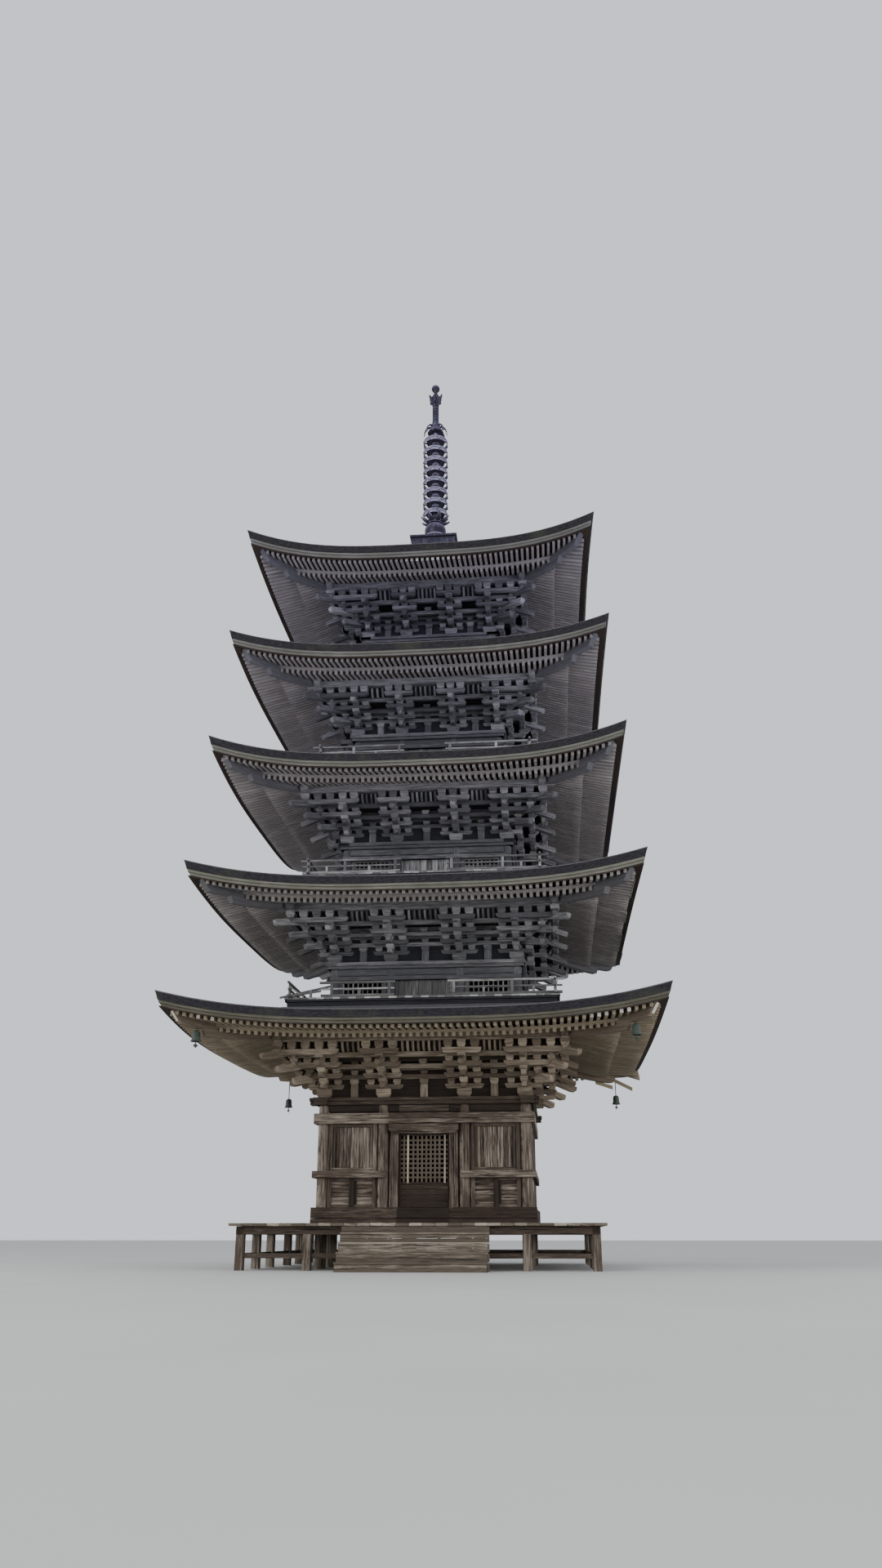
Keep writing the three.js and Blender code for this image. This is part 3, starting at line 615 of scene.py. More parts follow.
def hip_beam(name, storey, reach_in, reach_out, height_at, width, depth, slant, slant_in=0):
    """A beam along the diagonal under the hip, bent with the sweep; its ends slant back at the bottom."""
    beam = sliced_block(name, 9)
    across = Vector((1, 1, 0)).normalized()
    for vertex in beam.data.vertices:
        along, side, up = vertex.co
        start, end = reach_in - slant_in * (1 - up), reach_out - slant * (1 - up)
        reach = start + along * (end - start)
        place = eave_place(storey, 1, reach, height_at(reach))
        vertex.co = place + across * side * width + Vector((0, 0, (up - 1) * depth))
    return beam


print("hip beams end", HIP_SETBACK, "m inside the edge")

# %% Eaves of every storey
def eaves(storey):
    name = f"eaves_{storey.number}"
    base, flying = rafter_rows(storey)
    rafters = copies(name + "_rafters", bar, base + flying, 0.48, 0.64)
    line, eave, edge = storey.line, storey.eave, storey.edge
    end = eave - BASE_SETBACK

    def base_top(reach):
        return base_height(storey, reach) + BASE_HEIGHT

    def flying_top(reach):
        return flying_height(storey, reach) + FLYING_HEIGHT

    def sheet(top_at, outer, inner):
        """A thin sheet of boards that lies on the rafters between two reaches."""
        faces = [(reach, top_at(reach) - 0.004, top_at(reach) + 0.02) for reach in (outer, inner)]
        return eaves_board("sheet", storey, *faces)

    sheets = [sheet(base_top, end, line + PURLIN_OUT), sheet(base_top, line + PURLIN_OUT, line - 0.1),
              sheet(flying_top, eave - 0.1, end - 0.16)]
    top = flying_height(storey, end) - 0.002
    kerb = eaves_board("kerb", storey, (end + 0.025, top - 0.065, top), (end - 0.07, top - 0.08, top))
    hips = [hip_beam("hip", storey, line, end + 0.22, base_top, 0.2, 0.3, 0.1),
            hip_beam("hip", storey, end - 0.2, eave - HIP_SETBACK, flying_top, 0.19, 0.28, 0.16)]
    frame_piece = on_four_sides(joined(name, [rafters, kerb]))
    sheeting = on_four_sides(joined(name + "_sheeting", sheets))
    hips = on_four_sides(joined(name + "_hips", hips))
    boards = joined(name + "_boards", [
        eaves_board("board", storey, *[(eave - setback, edge - low, edge - high) for setback in (outer, 0.2)])
        for outer, low, high in ((0.13, 0.34, 0.262), (0.085, 0.26, 0.2))])
    return frame_piece, sheeting, hips, on_four_sides(boards)


for storey in STOREYS:
    timbers, sheeting, hips, boards = eaves(storey)
    node = f"eave_frame_{storey.number}"
    low = storey == GROUND
    # The rafters get the paler finish as painted sky light on the soffits.
    dress(timbers, rafter_wood if low else upper_rafter_wood, "upper_wood", node)
    # The sheeting between the rafters takes the dark timber as painted shade.
    dress(sheeting, dark_wood, "upper_wood", node)
    dress(hips, eave_wood if low else upper_wood, "upper_wood", node)
    dress(boards, board_wood if low else pale_board_wood, "upper_wood", node)

# %% [markdown]
# ## Traces of white paint
# Ends of rafters were painted white against the rain. On this tower the paint is left on a few flying rafters
# at the front of the lowest and the highest roof, and on the ends of the lowest hip beams. Each trace is a
# thin cap on the end of its timber, chosen from the same rows of rafters by its place along the eaves.

# %% Painted ends
PAINT = 0.004
PAINTED_AT = {1: (-5.17, -4.8, 4.3, 4.49, 4.68, 5.03, 5.2),
              5: tuple(RAFTER_PITCH[5] * (i + 0.5) for i in range(-3, 8))}
worn_paint = timber_finish("worn_white_paint", (150, 146, 138), (196, 193, 186), (216, 214, 208), 0.4, 0.2)
caps = []
for number, places in PAINTED_AT.items():
    flying_row = rafter_rows(STOREYS[number - 1])[1]
    for x in places:
        rafter = min(flying_row, key=lambda place: abs(place.translation.x - x))
        start, end = rafter @ Vector((1, 0, 0)), rafter @ Vector((1 + PAINT, 0, 0))
        caps.append(timber(start, end, rafter.col[1].length, rafter.col[2].length))
hip_end = GROUND.eave - HIP_SETBACK
hip_cap = hip_beam("hip_cap", GROUND, hip_end - PAINT, hip_end + PAINT,
                   lambda reach: flying_height(GROUND, reach) + FLYING_HEIGHT - 0.03, 0.1, 0.2, 0.115, 0.115)
painted_ends = joined("painted_ends", [copies("rafter_caps", bar, caps), on_four_sides(hip_cap)])
dress(painted_ends, worn_paint, "upper_wood")

# %% [markdown]
# ## Repairs and loose rafters
# Three fresh battens are nailed over the ends of flying rafters on the right side of the second roof. At the
# back right corner of the lowest roof the last flying rafters have come loose and hang down at their ends.

# %% Battens and loose rafters
REPAIRED = ((-5.0, -3.95), (-2.75, -1.9), (-0.5, 1.6))
second = STOREYS[1]
battens = []
for near, far in REPAIRED:
    start, end = (about_axis(90) @ rafter_place(second, y, second.eave - 0.235, second.edge - FLYING_DROP)
                  for y in (near, far))
    battens.append(timber(start, end, 0.02, 0.14))
dress(copies("repair_battens", bar, battens, 0.6, 0.9), pale_board_wood, "upper_wood")
loose = []
for i in range(7):
    y = 5.42 - i * RAFTER_PITCH[1]
    root, end = (y - 0.15, y, 5.7 - i * 0.03), (6.14 - i * 0.02, y + 0.02, 5.45 + i * 0.02)
    loose.append(timber(root, end, 0.084, FLYING_HEIGHT))
loose.append(timber((5.0, 5.2, 5.52), (5.88, 5.36, 5.1), 0.02, 0.12))
loose.append(timber((4.7, 5.05, 5.3), (5.25, 5.2, 5.14), 0.02, 0.12))
dress(copies("loose_rafters", bar, loose, 0.4, 0.7), rafter_wood, "upper_wood")

# %% [markdown]
# ## Shingled roofs
# The roofs are covered with thin wooden shingles, laid in courses so that each overlaps the one below.
# The stacked shingles make the thick dark edge that is cut square to the slope. A grid is a good start: one
# row of its points for each break in the outline, from the cut edge up over the courses. A small step at
# each course gives it a real butt, and a brick pattern in the finish splits the courses into shingles.

# %% Shingle finish
RIM_RUN = 0.645


def shingle_finish(name, deep, face, moss, wear_and_highlight):
    """RIM_RUN is the way along the outline to the arris of the cut edge, where a pale line is painted
    highlight.
    """
    deep, face, moss, wear_and_highlight = (tint(*colour) for colour in (deep, face, moss, wear_and_highlight))
    bark = Finish(name, roughness=0.9)
    grain = bark.add("UVMap", {"uv_map": "grain"})
    place = bark.add("TexCoord", output=3)
    ragged = bark.noise(place, 9, 3, 0.6)
    wavy = bark.add("VectorMath", {"operation": "ADD"}, in0=grain,
                    in1=bark.add("CombineXYZ", Y=ragged * 0.02))
    laid = bark.add("TexBrick", {"offset": 0.37}, output=1, Vector=wavy, **{
        "Scale": 1.0, "Mortar Size": 0.004, "Brick Width": 0.11, "Row Height": 0.036})
    rows = bark.noise(bark.stretched(wavy, (9, 27.8, 1)), 1, 2, 0.5)
    patches = bark.noise(place, 1.1, 4, 0.6)
    colour = bark.mix(rows.between(0.3, 0.7), deep, face)
    colour = bark.mix(patches.between(0.56, 0.74) * 0.6, colour, moss)
    colour = bark.mix(laid * 0.7, colour, deeper(deep, 0.3))
    upward = bark.add("SeparateXYZ", output=1, Vector=grain)
    slope = upward.between(RIM_RUN + 0.04, RIM_RUN + 0.4)
    colour = bark.mix(slope * (0.15 + rows * 0.4), colour, wear_and_highlight)
    # The arris gets a pale line as painted highlight of sky light; the slope above it gets pale wear.
    arris = upward.between(RIM_RUN - 0.03, RIM_RUN - 0.015)
    arris *= 1 - upward.between(RIM_RUN + 0.02, RIM_RUN + 0.04)
    bark.drive("Base Color", bark.mix(arris * (0.25 + rows * 0.5), colour, wear_and_highlight))
    bark.drive("Specular IOR Level", 0.3)
    bark.bump((1 - laid) * 0.6 + rows * 0.4, 0.6, 0.015)
    return bark.material


shingles = shingle_finish("old_shingles", (20, 19, 23), (46, 44, 51), (60, 62, 50), (112, 110, 112))
print("shingle finish ready")

# %% Shingled slopes
COURSE, BUTT = 0.14, 0.016
MERGE_REACH = 0.0005
CREST_HALF, CREST_TOP = 0.73, 21.95


def slope_height(storey, reach):
    inward = storey.eave - reach
    if storey.number < 5:
        return storey.edge + 0.16 * inward + 0.022 * inward ** 2
    share = max(0, inward) / (storey.eave - CREST_HALF)
    return storey.edge + (CREST_TOP - storey.edge) * share ** 1.25


def roof_outline(storey):
    """Reach and height of each break, from the foot of the cut edge over the courses and back below."""
    edge, eave = storey.edge, storey.eave
    last = STOREYS[storey.number].deck - 0.12 if storey.number < 5 else CREST_HALF
    rows = [(eave - 0.5, edge - 0.2), (eave - 0.06, edge - 0.2), (eave - 0.035, edge - 0.1),
            (eave - 0.003, edge - 0.012), (eave - 0.02, edge)]
    reach = eave - 0.02
    while reach > last + 0.01:
        reach = max(last, reach - COURSE)
        height = slope_height(storey, reach)
        rows += [(reach, height - BUTT), (reach, height)]
    if storey.number < 5:
        inside = STOREYS[storey.number].line
        rows += [(inside, rows[-1][1]), (inside, rows[-1][1] - 0.05)]
    else:
        rows += [(0.02, CREST_TOP), (0.02, CREST_TOP - 0.3), (CREST_HALF, CREST_TOP - 0.35)]
    return rows + rows[:1]


def roof(storey):
    rows = roof_outline(storey)
    bpy.ops.object.select_all(action="DESELECT")
    bpy.ops.mesh.primitive_grid_add(x_subdivisions=STATIONS, y_subdivisions=len(rows) - 1, size=2)
    slope = bpy.context.object
    slope.name = f"roof_{storey.number}_shingles"
    lay_grain(slope)
    run = [0.0]
    for (r0, z0), (r1, z1) in zip(rows, rows[1:]):
        run.append(run[-1] + math.hypot(r1 - r0, z1 - z0))
    row_of = [round((vertex.co.y + 1) / 2 * (len(rows) - 1)) for vertex in slope.data.vertices]
    for vertex, row in zip(slope.data.vertices, row_of):
        vertex.co = eave_place(storey, math.sin(vertex.co.x * math.pi / 2), *rows[row])
    for loop, uv in zip(slope.data.loops, slope.data.uv_layers["grain"].data):
        uv.uv = (slope.data.vertices[loop.vertex_index].co.x, run[row_of[loop.vertex_index]])
    slope = on_four_sides(slope)
    choose(slope, "VERT", lambda place, way: True)
    bpy.ops.mesh.remove_doubles(threshold=MERGE_REACH)
    return close_edit(slope)


for storey in STOREYS:
    dress(roof(storey), shingles, "shingle", f"roof_{storey.number}")

# %% [markdown]
# ## Pieces of the bracket complexes
# Between wall and eaves stands the finest joinery of the tower: bearing blocks that taper towards their
# foot, arms with rounded lower ends, and tail rafters that slope out from inside. Each is shaped once.
# The block gets its taper by extruding the foot and shrinking it; an arm gets its round ends by bevelling
# the two lower edges in several steps; a rib of the cove is a bar bent along its length.

# %% Block, arm, nose and rib
block = start_block("block", centre=(0, 0, 0.71), size=(1, 1, 0.58))
choose(block, "FACE", lambda middle, way: way.z < -0.9)
for drop, shrink in ((0.2, 0.87), (0.22, 0.82)):
    bpy.ops.mesh.extrude_region_move(TRANSFORM_OT_translate={"value": (0, 0, -drop)})
    bpy.ops.transform.resize(value=(shrink, shrink, 1))
lay_grain(close_edit(block))


def rounded_bar(name, start, size, offset):
    """A bar of unit size, rounded below at its far end, or at both ends where it lies across the origin."""
    length, width, height = size
    piece = start_block(name, centre=(start + length / 2, 0, height / 2), size=size)
    reach = start + length - 0.01
    choose(piece, "EDGE", lambda middle, way: abs(middle.x) > reach and middle.z < 0.01 and abs(way.y) > 0.9)
    bevel(offset, 4)
    close_edit(piece).data.transform(Matrix.Diagonal((1 / length, 1 / width, 1 / height, 1)))
    return lay_grain(piece)


arm = rounded_bar("arm", -0.5, (1.0, 0.12, 0.125), 0.1)
nose = rounded_bar("nose", 0.0, (1.4, 0.14, 0.18), 0.14)
rib = sliced_block("rib", 3)
for vertex in rib.data.vertices:
    vertex.co.z -= 1.1 * math.sin(vertex.co.x * math.pi)
print("bracket pieces:", [len(piece.data.polygons) for piece in (block, arm, nose, rib)])

# %% [markdown]
# ## Setting up a bracket complex
# The order is the builder's own, from the plate up. A large block sits over each column, a strut at the
# middle of each bay. Beams run along the wall with small blocks between them. Three steps of arms come
# forward, and each step carries a cross arm, three small blocks and a beam. The last step rides on the
# tail rafter and carries the eaves purlin. At the corners the arms go on to the crossing, and long noses
# reach out along the diagonal. Heights are shares of the room between plate and purlin, so that one list
# serves all five storeys. A small class keeps the places on one side and the few moves that add to them.

# %% Heights and places of the brackets
FULL = 1.34
TIERS = [(0.22, 0.34), (0.47, 0.59), (0.70, 0.83), (0.98, 1.12)]
WALL_BEAMS = [(0.47, 0.59), (0.70, 0.82), (0.93, 1.05), (1.17, 1.29)]
WALL_SEATS = [(0.34, 0.47), (0.59, 0.70), (0.82, 0.93), (1.05, 1.17)]


class Brackets:
    """The places of all bracket members on one side of a storey."""

    def __init__(self, storey):
        self.storey, self.line = storey, storey.line
        self.scale = (storey.purlin - storey.plate) / FULL
        spread = (storey.line - storey.bay) / (GROUND.line - GROUND.bay)
        self.half, self.gap = 0.5 * spread, 0.34 * spread
        self.blocks, self.arms, self.bars, self.noses, self.ribs, self.boards = ([] for _ in range(6))

    def level(self, height):
        return self.storey.plate + height * self.scale

    def seat(self, x, out, low, high, width):
        size = (width, width, self.level(high) - self.level(low), 1)
        place = Matrix.Translation((x, -self.line - out, self.level(low)))
        self.blocks.append(place @ Matrix.Diagonal(size))

    def beam(self, past, out, low, high, width):
        """A beam parallel to the wall, which runs past its corners."""
        end, height = self.line + past, (high - low) * self.scale
        self.bars.append(lying(-end, end, -self.line - out, self.level(low), width, height))

    def cross_arm(self, x0, x1, out, low, high):
        size = (x1 - x0, 0.12, self.level(high) - self.level(low), 1)
        place = Matrix.Translation(((x0 + x1) / 2, -self.line - out, self.level(low)))
        self.arms.append(place @ Matrix.Diagonal(size))

    def outward_arm(self, x, inner, outer, low, high):
        size = (outer - inner, 0.13, self.level(high) - self.level(low), 1)
        place = Matrix.Translation((x, -self.line - (inner + outer) / 2, self.level(low)))
        self.arms.append(place @ about_axis(90) @ Matrix.Diagonal(size))


print("feet of the lowest arms:", [round(Brackets(storey).level(TIERS[0][0]), 2) for storey in STOREYS])

# %% Members on a column and at the middle of a bay
def set_column(kit, x):
    """Blocks and arms on one column, and the three steps in front of it."""
    corner, way = abs(x) == kit.line, 1 if x > 0 else -1
    sides = (-way * kit.gap, 0) if corner else (-kit.gap, 0, kit.gap)
    kit.seat(x, 0.02, 0.0, 0.22, 0.37)
    kit.cross_arm(*sorted((x - way * kit.half, x + way * (0.2 if corner else kit.half))), 0.03, *TIERS[0])
    for side in sides:
        for low, high in WALL_SEATS:
            kit.seat(x + side, 0.035, low, high, 0.19)
    for step, (low, high) in enumerate(TIERS[:2], 1):
        kit.outward_arm(x, -0.1, step * STEP + 0.1, low, high)
        kit.seat(x, step * STEP, high, TIERS[step][0], 0.2)
    tail = (x, -kit.line - PURLIN_OUT - 0.34, kit.level(0.63))
    kit.noses.append(timber((x, -kit.line, kit.level(1.22)), tail, 0.13, 0.17 * kit.scale))
    kit.seat(x, PURLIN_OUT, 0.90, 0.98, 0.2)
    for step, (low, high), top in ((1, TIERS[1], 0.70), (2, TIERS[2], 0.95), (3, TIERS[3], 1.31)):
        out = step * STEP
        outer = way * (out + 0.14) if corner else way * kit.half
        kit.cross_arm(*sorted((x - way * kit.half, x + outer)), out, low, high)
        places = [x + side for side in sides]
        if corner:
            places += [x + way * i * STEP for i in range(1, step + 1)]
        for place in places:
            kit.seat(place, out, high, top, 0.2 if step < 3 else 0.22)


def set_bay_middle(kit, x):
    """A strut with small blocks over it."""
    kit.bars.append(upright(x, -kit.line - 0.03, kit.level(0), kit.level(0.33), 0.19, 0.12))
    kit.seat(x, 0.04, 0.33, 0.47, 0.22)
    for low, high in WALL_SEATS[1:3]:
        kit.seat(x, 0.035, low, high, 0.19)


print("half lengths of the cross arms:", [round(Brackets(storey).half, 2) for storey in STOREYS])

# %% Cove, ceiling and corner
def set_cove(kit):
    """Between the second step and the purlin: ribs in the open bays before a sheet of boards."""
    storey, line = kit.storey, kit.line
    foot = Vector((0, -line - 2 * STEP - 0.03, kit.level(1.08)))
    head = Vector((0, -line - PURLIN_OUT + 0.1, kit.level(FULL)))
    rise = (head - foot).normalized()
    normal = Vector((0, -rise.z, rise.y))
    middle = (foot + head) / 2 - normal * 0.05
    sheet = Vector((line + 2 * STEP, 0, 0))
    kit.boards.append(timber(middle - sheet, middle + sheet, (head - foot).length, 0.02, normal))
    inner, outer = storey.bay + kit.half, line - kit.half
    for x0, x1 in ((-storey.bay + kit.half, storey.bay - kit.half), (inner, outer), (-outer, -inner)):
        count = max(2, round((x1 - x0) / 0.135))
        for i in range(count):
            shift = Vector((x0 + (i + 0.5) * (x1 - x0) / count, 0, 0))
            kit.ribs.append(timber(foot + shift, head + shift, 0.06, 0.045, -normal))


def set_ceiling(kit):
    """Boards over the inner steps."""
    middle, sheet = Vector((0, -kit.line - STEP, kit.level(1.12))), Vector((kit.line + STEP, 0, 0))
    slope = Vector((0, 0.12, 1)).normalized()
    kit.boards.append(timber(middle - sheet, middle + sheet, 2 * STEP, 0.02, slope))


def set_corner(kit):
    """Noses along the diagonal at the right-hand corner, one under the other, and the block over them."""
    for step, foot, head in ((1, 0.50, 0.26), (2, 0.86, 0.52), (3, 1.24, 0.80)):
        out = kit.line + step * STEP + 0.36
        start, end = (kit.line, -kit.line, kit.level(foot)), (out, -out, kit.level(head))
        kit.noses.append(timber(start, end, 0.16, 0.19 * kit.scale))
    crossing = kit.line + PURLIN_OUT
    kit.bars.append(upright(crossing, -crossing, kit.level(0.98), kit.level(1.2), 0.13, 0.13))
    kit.seat(crossing, PURLIN_OUT, 1.16, 1.31, 0.24)


print("cove and corner helpers ready")

# %% Brackets of every storey
INFILL_BOARDS = 6


def brackets(storey):
    kit, line, plate = Brackets(storey), storey.line, storey.plate
    board = (base_height(storey, line) - 0.01 - plate) / INFILL_BOARDS
    kit.boards += [lying(-line, line, -line, plate + i * board, 0.05, board - 0.004)
                   for i in range(INFILL_BOARDS)]
    for low, high in WALL_BEAMS:
        kit.beam(0.12, 0.035, low, high, 0.11)
    for x in (-line, -storey.bay, storey.bay, line):
        set_column(kit, x)
    middle = (line + storey.bay) / 2
    for x in (0, middle, -middle):
        set_bay_middle(kit, x)
    for step, low, high in ((1, 0.70, 0.82), (2, 0.95, 1.08)):
        kit.beam(step * STEP + 0.16, step * STEP, low, high, 0.11)
    kit.seat(0, STEP, 0.82, 0.93, 0.2)
    kit.beam(PURLIN_OUT + 0.12, PURLIN_OUT, 1.31, FULL, 0.16)
    kit.beam(PURLIN_OUT + 0.34, PURLIN_OUT, FULL, FULL + PURLIN_HEIGHT / kit.scale, 0.19)
    set_cove(kit)
    set_ceiling(kit)
    set_corner(kit)
    name = f"brackets_{storey.number}"
    joinery = joined(name + "_joinery", [
        copies("blocks", block, kit.blocks, 0.4, 0.9), copies("arms", arm, kit.arms, 0.3, 0.8),
        copies("beams", bar, kit.bars, 0.3, 0.8), copies("noses", nose, kit.noses, 0.4, 0.9),
        copies("ribs", rib, kit.ribs, 0.5, 1.0)])
    boards = copies(name + "_infill", bar, kit.boards, 0.0, 0.3)
    return on_four_sides(joinery), on_four_sides(boards)


for storey in STOREYS:
    joinery, boards = brackets(storey)
    low = storey == GROUND
    node = f"brackets_{storey.number}"
    dress(joinery, eave_wood if low else upper_wood, "upper_wood", node)
    # The infill boards between the brackets are dark and low in tone as painted shade.
    dress(boards, dark_wood if low else upper_dark, "upper_wood", node)

# %% [markdown]
# ## Round columns
# A column is a cylinder laid along X like the bar, so that the same places and grain fit it. Its head is
# rounded off a little, as on the old towers, by bevelling the edge round its end face.

# %% The column
bpy.ops.object.select_all(action="DESELECT")
bpy.ops.mesh.primitive_cylinder_add(vertices=20, radius=0.5, depth=1, location=(0.5, 0, 0.5),
                                    rotation=(0, math.pi / 2, 0))
column = bpy.context.object
column.name = "column"
bpy.ops.object.transform_apply(location=True, rotation=True, scale=True)
choose(column, "EDGE", lambda middle, way: middle.x > 0.99 and abs(way.x) < 0.1)
bevel(0.03, 2)
close_edit(column)
bpy.ops.object.shade_smooth_by_angle(angle=math.radians(40))
lay_grain(column)
print("column faces:", len(column.data.polygons))

# %% [markdown]
# ## Upper walls
# The upper storeys are low: only the windows with their wooden grids, a pair of board doors and the broad
# plate over them show above the balustrade. The window is open, with bars halved into each other, eight
# holes wide and two high. Rails tie the columns below and above it.

# %% Walls of the upper storeys
WINDOW_SILL, WINDOW_HEAD = 0.19, 0.62
WINDOW_HOLES, WINDOW_FRAME = 8, 0.09


def upper_wall(storey):
    line, floor, plate, thick = storey.line, storey.floor, storey.plate, 2 * storey.radius
    bars, pale, plates = [], [], []
    columns = [upright(x, -line, floor, plate - 0.18, thick, thick) for x in (-line, -storey.bay, storey.bay)]
    for group, low, high, out, depth, past in (
            (bars, floor, floor + 0.13, 0.15, 0.06, 0.18),
            (bars, floor + WINDOW_HEAD, floor + WINDOW_HEAD + 0.11, 0.15, 0.06, 0.18),
            (bars, floor + WINDOW_HEAD + 0.1, plate - 0.34, 0.0, 0.06, 0.0),
            (bars, plate - 0.35, plate - 0.18, 0.03, 0.14, 0.0),
            (plates, plate - 0.18, plate - 0.1, 0.08, 0.22, 0.2),
            (plates, plate - 0.1, plate, 0.085, 0.31, 0.24)):
        group.append(lying(-line - past, line + past, -line - out, low, depth, high - low))
    low, high = floor + WINDOW_SILL, floor + WINDOW_HEAD
    margin = storey.radius + WINDOW_FRAME
    for side in (-1, 1):
        x0, x1 = sorted((side * (storey.bay + margin), side * (line - margin)))
        bars.append(lying(x0 - 0.1, x1 + 0.1, -line, floor, 0.07, WINDOW_SILL))
        bars += [upright(x, -line - 0.01, low, high, WINDOW_FRAME, 0.1)
                 for x in (x0 - WINDOW_FRAME / 2, x1 + WINDOW_FRAME / 2)]
        pale += [lying(x0, x1, -line - 0.02, foot, 0.07, 0.04) for foot in (high - 0.04, low)]
        pitch = (x1 - x0 - 0.04) / WINDOW_HOLES
        pale += [upright(x0 + 0.02 + i * pitch, -line - 0.02, low, high, 0.036, 0.045)
                 for i in range(WINDOW_HOLES + 1)]
        pale.append(lying(x0, x1, -line - 0.025, (low + high) / 2 - 0.02, 0.045, 0.04))
        bars.append(upright(side * (storey.bay - 0.16), -line - 0.01, floor, high, 0.07, 0.1))
    name = f"walls_{storey.number}"
    walls = joined(name + "_frame", [copies("rails", bar, bars, 0.25, 0.7),
                                     copies("columns", column, columns, 0.3, 0.6)])
    grids = copies(name + "_grids", bar, pale, 0.3, 0.7)
    return [on_four_sides(piece) for piece in
            (walls, grids, copies(f"plate_{storey.number}_layers", bar, plates, 0.4, 0.7))]


for storey in UPPER:
    walls, grids, plate = upper_wall(storey)
    dress(walls, upper_wood, "upper_wood", f"walls_{storey.number}")
    dress(grids, grey_wood, "upper_wood", f"walls_{storey.number}")
    dress(plate, upper_wood, "upper_wood", f"plate_{storey.number}")

# %% [markdown]
# ## Decks and balustrades
# Each upper storey has a narrow deck. Its boards run outwards and show their ends as a pale line over the
# dark waist below. The balustrade has three rails: one on the deck, one halfway and a round one on top,
# which run past each other at the corners and stop beside the doors. Tall and short posts take turns. On
# the first deck a stretch at the left has broken loose, and it's kept so.

# %% Balustrade
POST_SHARES = (0.97, 0.815, 0.66, 0.4545, 0.236)
RAIL_TOP = 0.43


def balustrade_half(storey, side, broken=False):
    """Bars and round rails at one side of the doors on the front."""
    deck, floor = storey.deck, storey.floor
    out = -(deck - 0.12)
    bars = []
    last = deck - 0.95 if broken else deck + 0.06
    for i, share in enumerate(POST_SHARES):
        if broken and i == 0:
            continue
        top, width = (0.37, 0.075) if i in (0, 2, 4) else (0.21, 0.06)
        bars.append(upright(side * share * (deck - 0.02), out, floor, floor + top, width, 0.07))
    first = POST_SHARES[-1] * deck - 0.14
    for low, high, depth in ((0.02, 0.085, 0.08), (0.205, 0.25, 0.05)):
        bars.append(lying(side * first, side * last, out, floor + low, depth, high - low))
    top_rail = lying(side * (first - 0.02), side * (last + 0.04), out, floor + RAIL_TOP - 0.07, 0.07, 0.07)
    if broken:
        loose = [((deck - 0.95, 0.16, 0.02), (deck + 0.12, -0.02, -0.1)),
                 ((deck - 1.25, 0.3, 0.06), (deck + 0.05, 0.02, 0.02)),
                 ((deck - 0.5, 0.0, 0.0), (deck - 0.1, 0.3, -0.05))]
        for ends in loose:
            start, end = ((side * x, out + y, floor + z) for x, z, y in ends)
            bars.append(timber(start, end, 0.05, 0.05))
    return bars, [top_rail]


def balustrade(storey, broken_left=False):
    halves = [balustrade_half(storey, side, broken_left and side < 0) for side in (-1, 1)]
    bars, rounds = (left + right for left, right in zip(*halves))
    # A lower tone on the second storey is painted shade.
    painted_shade_tone = 0.15 if storey.number == 2 else 0.3
    return joined("rails", [copies("bars", bar, bars, painted_shade_tone, painted_shade_tone + 0.55),
                            copies("rounds", column, rounds, painted_shade_tone, painted_shade_tone + 0.6)])


print("posts of a half balustrade:", len(POST_SHARES))

# %% Boards of a deck
def outward_boards(deck, root_at, pitch, ragged):
    """Middle, root, end and width of each board that runs out to the edge, cut aslant at the corners."""
    count = int(2 * deck / pitch)
    width = 2 * deck / count
    for i in range(count):
        x = -deck + (i + 0.5) * width
        yield x, max(root_at, abs(x) - width / 2), deck - dice.uniform(0, ragged), width


def deck_edge(storey):
    """The edge board and the two boards of the waist under it."""
    deck, foot = storey.deck, storey.floor - 0.11
    ledge = slope_height(STOREYS[storey.number - 2], deck - 0.1)
    waist, board = deck - 0.09, (foot - ledge) / 2
    return [lying(-deck + 0.02, deck - 0.02, -deck + 0.05, foot, 0.06, 0.06)] + [
        lying(-waist, waist, -waist, ledge + i * board, 0.06, board - 0.006) for i in range(2)]


print("boards under a deck's edge:", [len(deck_edge(storey)) for storey in UPPER])

# %% Decks, balustrades and board doors
DECK_BOARD, INNER_BOARD = 0.21, 0.2
DOOR_BOARDS = 8

for storey in UPPER:
    number, line, floor = storey.number, storey.line, storey.floor
    boards = [timber((x, -root, floor - 0.05), (x, -end, floor - 0.05), width - 0.006, 0.05)
              for x, root, end, width in outward_boards(storey.deck, line - 0.1, DECK_BOARD, 0.015)]
    rows = int(line / INNER_BOARD)
    inner = [lying(-line, line, i * INNER_BOARD, floor - 0.045, 0.195, 0.04) for i in range(-rows, rows + 1)]
    # A lower tone for the doors of the second storey is painted shade.
    painted_shade_tone = 0.0 if number == 2 else 0.3
    deck = joined(f"deck_{number}", [on_four_sides(copies("boards", bar, boards, 0.3, 0.9)),
                                     copies("inside", bar, inner, 0.1, 0.5)])
    waist = on_four_sides(copies(f"deck_{number}_waist", bar, deck_edge(storey), 0.2, 0.5))
    front = balustrade(storey)
    others = other_sides(front)
    if number == 2:
        bpy.data.objects.remove(front)
        front = balustrade(storey, broken_left=True)
    rails = joined(f"balustrade_{number}", [front] + others)
    door = storey.bay - 0.2
    width = 2 * door / DOOR_BOARDS
    leaves = [upright(-door + (i + 0.5) * width, -line - 0.015, floor + 0.02, floor + WINDOW_HEAD,
                      width - 0.008, 0.045) for i in range(DOOR_BOARDS)]
    doors = on_four_sides(copies(f"board_doors_{number}", bar, leaves, painted_shade_tone, painted_shade_tone + 0.5))
    for piece in (deck, rails, doors):
        dress(piece, grey_wood, "pale_wood", f"balcony_{number}")
    # The waist under the deck's edge is dark as painted shade.
    dress(waist, upper_dark, "upper_wood", f"balcony_{number}")

